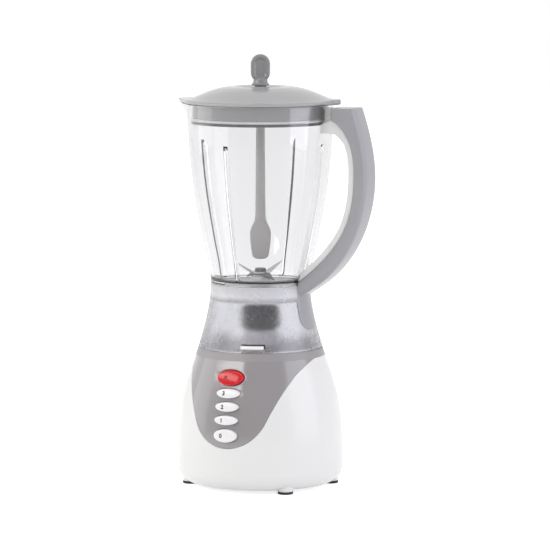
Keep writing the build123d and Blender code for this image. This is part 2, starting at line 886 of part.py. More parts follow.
with BuildPart() as collar:
    # keys either side of the deck's lugs
    with PolarLocations(lug_circle + lug_thickness, 3, start_angle=lug_angle):
        with Locations((0, -key_offset, collar_bottom), (0, key_offset, collar_bottom)):
            Box(3 * lug_thickness, key_thickness, lug_height + 2, align=standing)
    revolve(
        wall_section(collar_wall, collar_bottom, plate_top, wall / 2, None),
        axis=Axis.Z,
        mode=Mode.INTERSECT,
    )
    revolve(wall_section(collar_wall, collar_bottom, plate_top, 0, wall), axis=Axis.Z)
    for low, high in ((plate_bottom, plate_top), (ledge_bottom, ledge_top)):
        revolve(wall_section(collar_wall, low, high, wall / 2, None), axis=Axis.Z)
    with BuildSketch(Plane.XY.offset(ledge_bottom)):
        Circle(carrier_radius + slide_gap)
    extrude(amount=waist_height - ledge_bottom, mode=Mode.SUBTRACT)
    # slots that the carrier's lugs rise through before it is turned
    with PolarLocations(carrier_radius, 3, start_angle=lug_angle + bayonet_turn):
        with Locations((0, 0, ledge_bottom)):
            Box(
                2 * bayonet_reach + 2 * slide_gap,
                bayonet_width + 2,
                ledge_thickness,
                align=standing,
                mode=Mode.SUBTRACT,
            )
    add(make_tail(1, tail_depth + seam, seam).part, mode=Mode.SUBTRACT)
save(collar, "collar")

with BuildPart() as jug_gasket:
    with BuildSketch(Plane.XY.offset(plate_top)):
        Circle(waist_radius - rest_gap)
        Circle(floor_hole, mode=Mode.SUBTRACT)
    extrude(amount=gasket_thickness)
save(jug_gasket, "jug_gasket")

# ---------------------------------------------------------------- handle lines and jug
handle_top = rim_height - handle_top_drop
bow_height = handle_top - bow_drop
bracket_reach = handle_reach - 35.0
screw_reach = handle_reach - screw_back

with BuildLine(Plane.XZ) as grip_line:
    Spline(
        (bracket_reach, handle_top - 11),
        (handle_reach - 18, handle_top - 29),
        (handle_reach - handle_thickness, bow_height - 1),
        (handle_reach - 20.7, bow_height - 48),
        (waist_radius + 25.6, waist_height + 28),
        (waist_radius - 2.8, waist_height + 2.5),
        tangents=((1, -0.5), (-1, -0.8)),
    )
with BuildLine(Plane.XZ) as back_line:
    Spline(
        (handle_reach - 13, handle_top),
        (handle_reach, bow_height),
        (handle_reach - 13.4, bow_height - 61),
        (waist_radius + 21, waist_height + 4.2),
        (waist_radius - 2.8, waist_height - 12),
        tangents=((0.35, -1), (-1, -0.7)),
    )


def beside(curve, distance, count):
    """Points at even steps along a curve in the XZ plane, moved sideways, as (x, z)."""
    points = []
    for step in range(count + 1):
        at, along = curve @ (step / count), curve % (step / count)
        points.append((at.X + along.Z * distance, at.Z - along.X * distance))
    return points


strip_points = beside(grip_line.line, strip_thickness, 8)
grip_points = beside(grip_line.line, 0, 8)


def beak(height, reach, nose, inset):
    """Plan section of the spout at a height: two straight sides that meet in a round nose."""
    shoulder = wall_at(jug_side, height)[0] - spout_root_sink - inset
    centre = -(reach - nose)
    root = (
        -shoulder * cos(radians(spout_root_angle)),
        shoulder * sin(radians(spout_root_angle)),
    )
    away = atan2(root[1], root[0] - centre)
    turn = away + acos((nose - inset) / sqrt((root[0] - centre) ** 2 + root[1] ** 2))
    touch = (centre + (nose - inset) * cos(turn), (nose - inset) * sin(turn))
    with BuildSketch(Plane.XY.offset(height)) as section:
        with BuildLine():
            Line(root, touch)
            ThreePointArc(touch, (centre - nose + inset, 0), (touch[0], -touch[1]))
            Line((touch[0], -touch[1]), (root[0], -root[1]))
            Line((root[0], -root[1]), root)
        make_face()
    return section.sketch


def spout_sections(inset):
    low = rim_height - spout_height
    middle = rim_height - spout_height / 2
    return [
        beak(low, wall_at(jug_side, low)[0] - 1, spout_nose, inset),
        beak(middle, spout_reach - spout_middle_drop, spout_nose, inset),
        beak(rim_height, spout_reach, spout_nose, inset),
    ]


with BuildPart() as jug:
    revolve(wall_section(jug_side, waist_height, rim_height, 0, None), axis=Axis.Z)
    loft(spout_sections(0))
    # handle bracket and the clear strip that backs the handle
    with BuildSketch(Plane.XZ):
        with Locations(((rim_radius - 6 + bracket_reach) / 2, handle_top - 2 - bracket_drop / 2)):
            Rectangle(bracket_reach - rim_radius + 6, bracket_drop - 2)
    extrude(amount=bracket_width / 2, both=True)
    with BuildSketch(Plane.XZ):
        with BuildLine():
            Spline(*grip_points)
            Spline(*strip_points)
            Line(grip_points[0], strip_points[0])
            Line(grip_points[-1], strip_points[-1])
        make_face()
    extrude(amount=strip_width / 2, both=True)
    # tongue that the handle's screw bites into
    with BuildSketch(Plane.XZ):
        with Locations((bracket_reach + 6, handle_top - 9)):
            Rectangle(18, 11)
    extrude(amount=5, both=True)
    # the hollow inside
    revolve(
        wall_section(jug_side, waist_height + jug_floor, rim_height, jug_wall, None),
        axis=Axis.Z,
        mode=Mode.SUBTRACT,
    )
    loft(spout_sections(jug_wall), mode=Mode.SUBTRACT)
    with BuildSketch(Plane.XY.offset(waist_height)):
        Circle(floor_hole)
    extrude(amount=jug_floor, mode=Mode.SUBTRACT)
    for quarter in range(4):
        with BuildSketch(upright(rib_angle + 90 * quarter)):
            with BuildLine():
                low, high = waist_height + jug_floor, waist_height + rib_height
                wall_edges(jug_side, low, high, jug_wall - seam)
                wall_edges(jug_side, low, high, jug_wall + rib_depth)
                for level in (low, high):
                    inner = wall_at(jug_side, level)[0] - jug_wall
                    Line((inner + seam, level), (inner - rib_depth, level))
            make_face()
        extrude(amount=rib_thickness / 2, both=True)
    with Locations((screw_reach, 0, handle_top - 14)):
        Cylinder(handle_screw_radius + press_gap, 12, align=standing, mode=Mode.SUBTRACT)
save(jug, "jug")

back_points = beside(back_line.line, 0, 8)
pocket_points = beside(back_line.line, handle_wall, 8)
pocket_mouth = beside(grip_line.line, 1, 8)
with BuildPart() as handle_cover:
    with BuildSketch(Plane.XZ):
        with BuildLine():
            Spline(*back_points)
            Spline(*grip_points)
            Line(grip_points[-1], back_points[-1])
            Polyline(grip_points[0], (bracket_reach, handle_top), back_points[0])
        make_face()
    extrude(amount=handle_width / 2, both=True)
    long_edges = handle_cover.edges().filter_by(Axis.Y, reverse=True).sort_by(SortBy.LENGTH)
    fillet(long_edges[-2:], handle_round)
    # hollow behind the grip, open towards the clear strip
    with BuildSketch(Plane.XZ):
        with BuildLine():
            Spline(*pocket_points)
            Spline(*pocket_mouth)
            Polyline(pocket_mouth[0], (bracket_reach - 1, handle_top), pocket_points[0])
            Line(pocket_points[-1], pocket_mouth[-1])
        make_face()
        with Locations((bracket_reach, handle_top)):
            Rectangle(handle_reach, 2 * handle_wall, mode=Mode.SUBTRACT)
    extrude(amount=handle_width / 2 - handle_wall, both=True, mode=Mode.SUBTRACT)
    # seat against the jug and the collar
    revolve(
        wall_section(jug_side, waist_height, rim_height, -seam, None),
        axis=Axis.Z,
        mode=Mode.SUBTRACT,
    )
    with Locations((0, 0, plate_top)):
        Cylinder(
            waist_radius + seam, gasket_thickness, align=standing, mode=Mode.SUBTRACT
        )
    revolve(
        wall_section(collar_wall, deck_height, plate_top, tail_depth, None),
        axis=Axis.Z,
        mode=Mode.SUBTRACT,
    )
    add(make_tail(0, tail_depth, 0).part)
    with Locations((screw_reach, 0, handle_top - handle_wall - 1)):
        Cylinder(handle_screw_radius + seam, 10, align=standing, mode=Mode.SUBTRACT)
    with Locations((screw_reach, 0, handle_top - 1.5)):
        Cylinder(2 * handle_screw_radius + seam, 10, align=standing, mode=Mode.SUBTRACT)
save(handle_cover, "handle_cover")

with BuildPart() as handle_screw:
    with Locations((screw_reach, 0, handle_top - 1.5)):
        Cylinder(2 * handle_screw_radius, 1.2, align=standing)
    with Locations((screw_reach, 0, handle_top - 12)):
        Cylinder(handle_screw_radius, 11, align=standing)
save(handle_screw, "handle_screw")

# ---------------------------------------------------------------- blade unit
floor_top = waist_height + 0.6
boss_top = waist_height + boss_rise
boss_bottom = coupling_top + hub_gap + driven_height + boss_gap
hub_level = boss_top + washer_height + seam
carrier_top = plate_top - rest_gap

with BuildPart() as blade_carrier:
    with Locations((0, 0, ledge_top + rest_gap)):
        Cylinder(carrier_radius, carrier_top - ledge_top - rest_gap, align=standing)
        Cylinder(
            carrier_radius - 2 * wall, bayonet_height, align=standing, mode=Mode.SUBTRACT
        )
    with Locations((0, 0, ledge_top + rest_gap)):
        with PolarLocations(carrier_radius, 3, start_angle=lug_angle):
            Box(2 * bayonet_reach, bayonet_width, bayonet_height, align=standing)
    with Locations((0, 0, carrier_top)):
        Cylinder(floor_hole - slide_gap, floor_top - carrier_top, align=standing)
    with Locations((0, 0, boss_bottom)):
        Cylinder(boss_radius, boss_top - boss_bottom, align=standing)
        Cylinder(
            blade_shaft_radius + bush_wall + press_gap,
            boss_top - boss_bottom,
            align=standing,
            mode=Mode.SUBTRACT,
        )
save(blade_carrier, "blade_carrier")

with BuildPart() as shaft_bush:
    with Locations((0, 0, boss_bottom)):
        Cylinder(blade_shaft_radius + bush_wall, boss_top - boss_bottom, align=standing)
        Cylinder(
            blade_shaft_radius + shaft_gap,
            boss_top - boss_bottom,
            align=standing,
            mode=Mode.SUBTRACT,
        )
save(shaft_bush, "shaft_bush")

with BuildPart() as driven_coupling:
    extrude(lobes(coupling_top + hub_gap, 0), amount=-(dog_depth - hub_gap))
    with Locations((0, 0, coupling_top + hub_gap)):
        Cylinder(driven_radius, driven_height, align=standing)
    with Locations((0, 0, coupling_top - dog_depth)):
        Cylinder(
            blade_shaft_radius + press_gap,
            dog_depth + driven_height + 1,
            align=standing,
            mode=Mode.SUBTRACT,
        )
save(driven_coupling, "driven_coupling")

stack_top = hub_level + 2 * blade_thickness
with BuildPart() as blade_shaft:
    with Locations((0, 0, coupling_top - dog_depth + 2)):
        Cylinder(
            blade_shaft_radius, stack_top - coupling_top + dog_depth - 2, align=standing
        )
    with Locations((0, 0, stack_top)):
        Cylinder(nut_size / 4, nut_height - 1, align=standing)
save(blade_shaft, "blade_shaft")

with BuildPart() as blade_washer:
    with Locations((0, 0, boss_top + seam)):
        Cylinder(blade_hub - 1.5, washer_height, align=standing)
        Cylinder(
            blade_shaft_radius + press_gap, washer_height, align=standing, mode=Mode.SUBTRACT
        )
save(blade_washer, "blade_washer")

with BuildPart() as blade_nut:
    with BuildSketch(Plane.XY.offset(stack_top)):
        RegularPolygon(nut_size / 2, 6, major_radius=False)
    extrude(amount=nut_height)
    with Locations((0, 0, stack_top)):
        Cylinder(
            nut_size / 4 + press_gap, nut_height - 0.9, align=standing, mode=Mode.SUBTRACT
        )
    fillet(blade_nut.faces().sort_by(Axis.Z)[-1].edges(), 1)
save(blade_nut, "blade_nut")


def make_blade(bottom, turn, rise):
    """A two-ended blade: a flat hub whose pointed arms are bent by the rise at their tips."""
    with BuildPart() as blade:
        with BuildSketch(upright(turn, bottom)):
            with BuildLine():
                lower = [
                    (-blade_radius, rise),
                    (-blade_hub, 0),
                    (blade_hub, 0),
                    (blade_radius, rise),
                ]
                upper = [(x, z + blade_thickness) for x, z in reversed(lower)]
                Polyline(*lower, *upper, close=True)
            make_face()
        extrude(amount=blade_width, both=True)
        with BuildSketch(Plane.XY.offset(bottom - blade_radius)):
            with Locations(Location((0, 0, 0), (0, 0, turn))):
                Circle(blade_hub)
                Polygon(
                    (-blade_radius, -blade_width / 4),
                    (-blade_hub / 2, -blade_width / 2),
                    (blade_hub / 2, -blade_width / 2),
                    (blade_radius, blade_width / 4),
                    (blade_hub / 2, blade_width / 2),
                    (-blade_hub / 2, blade_width / 2),
                    align=None,
                )
        extrude(amount=3 * blade_radius, mode=Mode.INTERSECT)
        with Locations((0, 0, bottom - blade_thickness)):
            Cylinder(
                blade_shaft_radius + press_gap,
                4 * blade_thickness,
                align=standing,
                mode=Mode.SUBTRACT,
            )
    return blade


save(make_blade(hub_level, blade_turn, -lower_drop), "lower_blade")
save(make_blade(hub_level + blade_thickness, blade_turn + 90, upper_rise), "upper_blade")

# ---------------------------------------------------------------- lid
lid_bottom = rim_height + rest_gap
edge_top = lid_bottom + lid_edge
lid_top = edge_top + lid_rise
skirt_inner = skirt_radius - lid_wall
dome = lid_rise / (lid_radius - 3 - plateau_radius)

with BuildPart() as lid:
    with BuildSketch(Plane.XZ):
        with BuildLine():
            Polyline(
                (0, lid_top),
                (plateau_radius, lid_top),
                (lid_radius - 3, edge_top),
                (lid_radius, edge_top),
                (lid_radius, lid_bottom),
                (0, lid_bottom),
                close=True,
            )
        make_face()
    revolve(axis=Axis.Z)
    fillet(
        lid.edges().filter_by(GeomType.CIRCLE).filter_by_position(
            Axis.Z, lid_top - 0.1, lid_top + 0.1
        ),
        4,
    )
    with BuildSketch(Plane.XY.offset(lid_bottom)):
        with BuildLine():
            CenterArc((0, 0), lid_radius, 0, 360)
            CenterArc((spout_nose + 1 - lid_spout_reach, 0), spout_nose + 1, 0, 360)
        make_hull()
        with Locations((lid_tab_reach - lid_tab_width, 0)):
            SlotOverall(2 * lid_tab_width, lid_tab_width)
    extrude(amount=lid_edge)
    with BuildSketch(Plane.XY.offset(lid_bottom - skirt_depth)):
        Circle(skirt_radius)
    extrude(amount=skirt_depth)
    with BuildSketch(Plane.XZ):
        with BuildLine():
            under = lid_top - lid_wall
            Polyline(
                (0, under),
                (plateau_radius - 0.6, under),
                (skirt_inner, under - dome * (skirt_inner - plateau_radius + 0.6)),
                (skirt_inner, lid_bottom - skirt_depth),
                (0, lid_bottom - skirt_depth),
                close=True,
            )
        make_face()
    revolve(axis=Axis.Z, mode=Mode.SUBTRACT)
    with Locations((0, 0, under)):
        Cylinder(sleeve_radius + shaft_gap, lid_wall, align=standing, mode=Mode.SUBTRACT)
save(lid, "lid")

with BuildPart() as lid_seal:
    with BuildSketch(Plane.XY.offset(lid_bottom - skirt_depth - seal_height)):
        Circle(wall_at(jug_side, lid_bottom - skirt_depth - seal_height)[0] - jug_wall - slide_gap)
        Circle(skirt_inner, mode=Mode.SUBTRACT)
    extrude(amount=seal_height)
    fillet(lid_seal.edges().filter_by(GeomType.CIRCLE).sort_by(SortBy.RADIUS)[-2:], 0.8)
save(lid_seal, "lid_seal")

# ---------------------------------------------------------------- stirrer
pivot_height = lid_top - 1.5
with BuildPart() as stirrer_socket:
    with BuildSketch(Plane.XZ):
        with BuildLine():
            Polyline(
                (0, lid_top + socket_rise),
                (socket_radius - 0.8, lid_top + socket_rise),
                (socket_radius, lid_top + socket_rise - 0.8),
                (socket_radius, lid_top + seam),
                (sleeve_radius, lid_top + seam),
                (sleeve_radius, under - seam),
                (sleeve_radius + 0.8, under - seam),
                (sleeve_radius, under - 2),
                (0, under - 2),
                close=True,
            )
        make_face()
    revolve(axis=Axis.Z)
    with Locations((0, 0, pivot_height)):
        Sphere(ball_radius + shaft_gap, mode=Mode.SUBTRACT)
        Cylinder(socket_bore, 4 * ball_radius, mode=Mode.SUBTRACT)
save(stirrer_socket, "stirrer_socket")

face = upright(stirrer_turn)
knob_middle = pivot_height + knob_lift + knob_foot_height - knob_sink + knob_height / 2
with BuildPart() as stirrer_rod:
    with BuildSketch(Plane.XZ):
        with BuildLine():
            Polyline(
                (0, pivot_height),
                (rod_radius, pivot_height),
                (rod_swell, pivot_height - swell_drop),
                (0, pivot_height - swell_drop),
                close=True,
            )
        make_face()
    revolve(axis=Axis.Z)
    with Locations((0, 0, pivot_height)):
        Sphere(ball_radius)
        Cylinder(rod_radius, knob_lift + rod_grip, align=standing)
    with BuildSketch(face):
        with BuildLine():
            top, foot = pivot_height - shoulder_drop, pivot_height - paddle_drop
            Polyline(
                (-rod_swell + 0.5, top + 8),
                (rod_swell - 0.5, top + 8),
                (paddle_width / 2, top - 5),
                (paddle_toe / 2, foot + 5),
            )
            ThreePointArc((paddle_toe / 2, foot + 5), (0, foot), (-paddle_toe / 2, foot + 5))
            Polyline(
                (-paddle_toe / 2, foot + 5),
                (-paddle_width / 2, top - 5),
                (-rod_swell + 0.5, top + 8),
            )
        make_face()
    extrude(amount=paddle_thickness / 2, both=True)
save(stirrer_rod, "stirrer_rod")

with BuildPart() as stirrer_knob:
    with Locations((0, 0, pivot_height + knob_lift)):
        Cylinder(knob_foot, knob_foot_height, align=standing)
    with BuildSketch(upright(stirrer_turn, knob_middle)):
        SlotOverall(knob_height, knob_width, rotation=90)
    extrude(amount=knob_thickness / 2, both=True)
    with BuildSketch(upright(stirrer_turn, knob_middle).offset(knob_thickness / 2)):
        SlotOverall(knob_height - 2 * knob_rim, knob_width - 2 * knob_rim, rotation=90)
    extrude(amount=-knob_recess, mode=Mode.SUBTRACT)
    with Locations((0, 0, pivot_height)):
        Cylinder(
            rod_radius + press_gap, knob_lift + rod_grip + seam, align=standing, mode=Mode.SUBTRACT
        )
save(stirrer_knob, "stirrer_knob")
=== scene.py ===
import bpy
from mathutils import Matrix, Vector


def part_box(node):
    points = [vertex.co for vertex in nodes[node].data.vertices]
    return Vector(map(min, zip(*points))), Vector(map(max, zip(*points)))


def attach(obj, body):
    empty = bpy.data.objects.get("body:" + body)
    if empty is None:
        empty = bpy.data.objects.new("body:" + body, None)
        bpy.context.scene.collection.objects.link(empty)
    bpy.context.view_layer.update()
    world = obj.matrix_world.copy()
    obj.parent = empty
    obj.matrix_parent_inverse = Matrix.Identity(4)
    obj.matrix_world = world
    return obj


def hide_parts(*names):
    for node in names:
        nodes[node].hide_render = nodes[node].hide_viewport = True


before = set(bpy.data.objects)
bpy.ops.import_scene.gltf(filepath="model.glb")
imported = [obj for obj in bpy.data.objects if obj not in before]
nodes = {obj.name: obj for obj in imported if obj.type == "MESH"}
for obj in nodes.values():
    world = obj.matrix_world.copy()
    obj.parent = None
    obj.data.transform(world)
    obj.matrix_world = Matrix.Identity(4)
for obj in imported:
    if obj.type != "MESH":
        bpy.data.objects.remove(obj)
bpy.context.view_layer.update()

from math import cos, pi, radians, sin

import bmesh
import bpy
import numpy as np
from mathutils import Vector

# ---- Base shell
# The white housing is one gloss ABS moulding with a round belly, a window in front for the control
# panel, and four hollow bosses underneath that the rubber feet are pressed into.
belly, belly_height = 78.1, 36
base_wall = np.array([(belly_height, belly, 0), (78, 74.3, -0.17), (130, 58.4, -0.3)], float)
shell_wall = 2.6
band_bottom = 123.0
window_tip = 43.5
window_round = 38.5
window_lean = radians(22.5)
edge_round = 0.5
flare_low, flare_tall, flare = 108, 15, 0.096
foot_place = 66
foot_turns = (-45, 25, 135, 205)
sharp_from = radians(38)
merged_within = 4e-6
shell_white = "#f2f2f1"


def linear(colour):
    """sRGB hex to linear: below 0.04045 a channel is divided by 12.92, and above it 0.055 is added,
    the sum divided by 1.055 and raised to the power 2.4."""
    channel = np.array([int(colour[at : at + 2], 16) for at in (1, 3, 5)]) / 255
    low, high = channel / 12.92, ((channel + 0.055) / 1.055) ** 2.4
    return (*np.where(channel <= 0.04045, low, high).tolist(), 1.0)


def add_node(tree, kind, inputs=None, **settings):
    """Adds a node to a tree, with its settings, and its inputs linked or set."""
    node = tree.nodes.new(kind)
    for key, value in settings.items():
        setattr(node, key, value)
    for key, value in (inputs or {}).items():
        if isinstance(value, bpy.types.NodeSocket):
            tree.links.new(value, node.inputs[key])
        else:
            node.inputs[key].default_value = value
    return node


def bare_material(name):
    """A new material, its node tree, its shader, and the Object coordinates of its surface."""
    material = bpy.data.materials.new(name)
    material.use_nodes = True
    tree = material.node_tree
    place = add_node(tree, "ShaderNodeTexCoord").outputs["Object"]
    return material, tree, tree.nodes["Principled BSDF"], place


def tinted(tree, shader, amount, colour, shade):
    """Colour of the surface: from the colour to its shade, by an amount from 0 to 1."""
    mix = {"Factor": amount, "A": colour, "B": shade}
    tint = add_node(tree, "ShaderNodeMix", mix, data_type="RGBA")
    tree.links.new(tint.outputs["Result"], shader.inputs["Base Color"])


def grained(tree, shader, grain, low, high, depth, strength=0.5):
    """Skin of the surface: where the grain rises from 0.3 to 0.7 the roughness goes from low to
    high, and the grain stands up to that many millimetres."""
    height = grain.outputs["Fac"]
    rise = {"Value": height, "From Min": 0.3, "From Max": 0.7, "To Min": low, "To Max": high}
    gloss = add_node(tree, "ShaderNodeMapRange", rise)
    tree.links.new(gloss.outputs["Result"], shader.inputs["Roughness"])
    stand = {"Height": height, "Distance": depth / 1000, "Strength": strength}
    relief = add_node(tree, "ShaderNodeBump", stand)
    tree.links.new(relief.outputs["Normal"], shader.inputs["Normal"])


def moulded(name, colour, shade, roughness, grain, depth, spread=0.04, **sockets):
    """A moulded plastic or rubber: its colour drifts to a near shade over the flow of the melt, and
    its surface has a grain that many millimetres apart and that many millimetres deep."""
    material, tree, shader, place = bare_material(name)
    flow = add_node(tree, "ShaderNodeTexNoise", {"Vector": place, "Scale": 22.0, "Detail": 3.0})
    tinted(tree, shader, flow.outputs["Fac"], linear(colour), linear(shade))
    pattern = {"Vector": place, "Scale": 1000 / grain, "Detail": 2.0}
    skin = add_node(tree, "ShaderNodeTexNoise", pattern)
    grained(tree, shader, skin, roughness - spread, roughness + spread, depth, 0.6)
    for key, value in sockets.items():
        shader.inputs[key.replace("_", " ")].default_value = value
    return material


def cubic(t, span, first, last, first_lean, last_lean):
    """The cubic over a span that has the given value and lean at each of its ends."""
    ends = first * (1 + 2 * t) * (1 - t) ** 2 + last * t * t * (3 - 2 * t)
    return ends + span * t * (1 - t) * (first_lean * (1 - t) - last_lean * t)


def wall_radius(stations, height):
    """Radius at heights: between two stations, the cubic that has each one's radius and lean."""
    height = np.asarray(height, float)
    at = np.clip(np.searchsorted(stations[:, 0], height) - 1, 0, len(stations) - 2)
    z0, r0, m0 = np.moveaxis(stations[at], -1, 0)
    z1, r1, m1 = np.moveaxis(stations[at + 1], -1, 0)
    return cubic((height - z0) / (z1 - z0), z1 - z0, r0, r1, m0, m1)


def linked(name, data):
    """A mesh, lamp or camera as an object of the scene."""
    thing = bpy.data.objects.new(name, data)
    bpy.context.scene.collection.objects.link(thing)
    return thing


def placed(name, body, material, mesh):
    """A finished mesh as a piece of one material, which rides on a body."""
    mesh.materials.clear()
    mesh.materials.append(material)
    piece = linked(name, mesh)
    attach(piece, body)
    return piece


def make_piece(name, body, material, *grids):
    """One mesh from grids of points, rows x columns x 3 in millimetres: four neighbours are a face.
    Points that fall together are merged, which closes seams and poles, and faces turn outwards."""
    corners, faces, start = [], [], 0
    for grid in grids:
        rows, columns = grid.shape[:2]
        at = start + np.arange(rows * columns).reshape(rows, columns)
        quads = np.stack([at[:-1, :-1], at[:-1, 1:], at[1:, 1:], at[1:, :-1]], -1)
        faces.append(quads.reshape(-1, 4))
        corners.append(grid.reshape(-1, 3))
        start += rows * columns
    mesh = bpy.data.meshes.new(name)
    mesh.from_pydata((np.concatenate(corners) / 1000).tolist(), [], np.concatenate(faces).tolist())
    work = bmesh.new()
    work.from_mesh(mesh)
    bmesh.ops.remove_doubles(work, verts=work.verts, dist=merged_within)
    bmesh.ops.recalc_face_normals(work, faces=work.faces)
    work.to_mesh(mesh)
    work.free()
    mesh.shade_smooth()
    mesh.set_sharp_from_angle(angle=sharp_from)
    return placed(name, body, material, mesh)


def blend(first, last, share):
    """From the first to the last, by a share from 0 to 1."""
    return first * (1 - share) + last * share


def rounded(corners, steps=6):
    """A line through (x, y, radius) corners, each replaced by an arc that touches both sides."""
    at = np.array([corner[:2] for corner in corners], float)
    line = [at[:1]]
    for before, here, after, corner in zip(at, at[1:], at[2:], corners[1:]):
        u, v = before - here, after - here
        u, v = u / np.linalg.norm(u), v / np.linalg.norm(v)
        half = np.arccos(np.clip(u @ v, -1, 1)) / 2
        if corner[2] == 0 or half > 1.56:
            line.append(here[None])
            continue
        middle = here + (u + v) / np.linalg.norm(u + v) * corner[2] / np.sin(half)
        back = corner[2] / np.tan(half)
        first, last = here + u * back - middle, here + v * back - middle
        share = np.linspace(0, 1, steps + 1)[:, None]
        arc = blend(first, last, share)
        line.append(middle + arc / np.linalg.norm(arc, axis=1)[:, None] * corner[2])
    line.append(at[-1:])
    return np.concatenate(line)


def about_axis(radius, turn, height):
    """Points at distances from the Z axis, turns from +X and heights."""
    x, y = radius * np.cos(turn), radius * np.sin(turn)
    return np.stack([x, y, height + 0 * x], -1)


def turned(profile, steps=180):
    """A profile of (radius, height) rows carried once round the Z axis."""
    radius, height = np.asarray(profile, float).T[..., None]
    return about_axis(radius, np.linspace(0, 2 * pi, steps + 1), height)


def window_edge(along, gap):
    """The window's right edge at steps along it, moved in by the gap, as (x, height): an arc round
    the tip up to the angle where the straight side begins, and then that side."""
    bend = pi / 2 - window_lean
    reach = window_round - gap
    on_arc = np.minimum(along, bend)
    run = np.maximum(along - bend, 0) * window_round
    x = reach * np.sin(on_arc) + run * sin(window_lean)
    return x, window_tip + window_round - reach * np.cos(on_arc) + run * cos(window_lean)


def edge_step(height, gap):
    """The step along the window's edge at which it has a height."""
    bend, reach = pi / 2 - window_lean, window_round - gap
    centre = window_tip + window_round
    joint = centre - reach * cos(bend)
    on_arc = np.arccos(np.clip((centre - np.minimum(height, joint)) / reach, -1, 1))
    return on_arc + np.maximum(height - joint, 0) / cos(window_lean) / window_round


def front_wall(turn, height, inset):
    """Points of the base's wall at turns from the front towards +X, moved in towards the axis."""
    radius = wall_radius(base_wall, height) - inset
    return np.stack([radius * np.sin(turn), -radius * np.cos(turn), height + 0 * turn], -1)


def front_turn(x, height):
    """The turn from the front at which the wall has an x."""
    return np.arcsin(np.clip(x / wall_radius(base_wall, height), -1, 1))


def edge_turn(x, height):
    """The turn of a point of the window's edge, which flares out under the band."""
    return front_turn(x, height) + flare * np.clip((height - flare_low) / flare_tall, 0, 1) ** 2


round_angle = np.linspace(0, pi / 2, 6)
along = np.concatenate(
    [np.linspace(0, pi / 2 - window_lean, 70), np.linspace(1.19, edge_step(band_bottom, 0), 60)]
)
outer_x, outer_z = window_edge(along, -edge_round)
outer_z[-1] = band_bottom
inner_x, inner_z = window_edge(along, 0)
inner_z[-1] = band_bottom
outer_turn, inner_turn = edge_turn(outer_x, outer_z), edge_turn(inner_x, inner_z)
way_round = np.linspace(0, 1, 181)
low_line = [(56, 5.6, 0), (56, 3, 0.4), (belly, 3, 16), (belly, belly_height, 0)]
low_line = rounded(low_line, 24)
belly_in = belly - shell_wall
low_in = rounded([(56, 5.6, 0), (belly_in, 5.6, 13.4), (belly_in, belly_height, 0)], 24)
slide = np.sin(round_angle)
sink = edge_round * (1 - np.cos(round_angle))


def round_behind(turn, height, inset):
    """The wall from a turn right of the window, round the back, to the same turn left of it."""
    turn = turn[:, None]
    return front_wall(turn + (2 * pi - 2 * turn) * way_round, height, inset)


upper_out = round_behind(outer_turn, outer_z[:, None], 0)
upper_in = round_behind(inner_turn, inner_z[:, None], shell_wall)
ring_turn = blend(outer_turn[-1], inner_turn[-1], slide)
upper_end = round_behind(ring_turn, band_bottom, sink[:, None])
upper_end = np.concatenate([upper_end, upper_in[-1:]])


def wall_line(stations, low, high, inset, steps):
    """(radius, height) rows up a wall."""
    height = np.linspace(low, high, steps)
    return np.stack([wall_radius(stations, height) - inset, height], -1)


def low_rings(line, top, inset):
    """A low profile carried round, and the wall from the belly up to where the window begins: the
    rings run backwards and start at the front, three quarters of a turn on."""
    wall = wall_line(base_wall, belly_height, top, inset, 6)[1:]
    grid = turned(np.concatenate([line, wall]))[:, ::-1]
    ring = np.roll(grid[:, :-1], -135, axis=1)
    return np.concatenate([ring, ring[:, :1]], 1)


def window_lip(side):
    """The window's edge, rounded over and carried through the wall's thickness."""
    turn = blend(outer_turn[:, None], inner_turn[:, None], slide)
    height = blend(outer_z[:, None], inner_z[:, None], slide)
    lip = front_wall(side * turn, height, sink)
    inside = front_wall(side * inner_turn[:, None], inner_z[:, None], shell_wall)
    return np.concatenate([lip, inside], 1)


def foot_boss(angle):
    """A short hollow boss that stands below the shell, where a foot is pressed in."""
    line = rounded(
        [(2.6, 7.6, 0), (2.6, 2.45, 0), (7.1, 2.45, 0.4), (7.1, 10, 0), (2.6, 10, 0), (2.6, 7.6, 0)]
    )
    return turned(line, 48) + foot_place * np.array([cos(angle), sin(angle), 0])


# ABS from a polished mould: an even white with soft, wide highlights
white_abs = moulded("abs_moulded_white", shell_white, "#efefee", 0.18, 1.2, 0.003, 0.03)
base_shell = make_piece(
    "shell",
    "base",
    white_abs,
    low_rings(low_line, outer_z[0], 0),
    upper_out,
    window_lip(1),
    window_lip(-1),
    upper_in,
    low_rings(low_in, inner_z[0], shell_wall),
    upper_end,
    *[foot_boss(radians(angle)) for angle in foot_turns],
)
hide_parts("base_shell")

# ---- Control panel
# The shield is a separate grey ABS moulding, gloss polished, clipped into the shell's window from
# behind. Five oval holes guide the buttons.
panel_gap = 0.15
hole_play = 0.4
side_count, across_count, ring_count = 37, 49, 15
panel_grey = "#9c989a"
buttons = {  # height, width, tall
    "button_0": (55.8, 22.8, 12.2),
    "button_1": (70.0, 22.8, 8.6),
    "button_2": (82.2, 22.8, 8.6),
    "button_3": (94.4, 22.8, 8.6),
    "pulse_button": (108.3, 25.8, 13.4),
}


def strip_outline(step, gap, low, high):
    """The outline of one strip of the panel between two heights, with the given steps up the
    window's edge: turns and heights of its right side, and of all its points from the lower left
    corner on."""
    side_x, side_z = window_edge(step, gap)
    side_z[0], side_z[-1] = low, high
    side = edge_turn(side_x, side_z)
    across = np.linspace(-1, 1, across_count)
    turn = np.concatenate([side[0] * across, side[1:], -side[-1] * across[1:], -side[-2::-1]])
    ends = np.full(across_count, low), np.full(across_count - 1, high)
    return side, side_z, turn, np.concatenate([ends[0], side_z[1:], ends[1], side_z[-2::-1]])


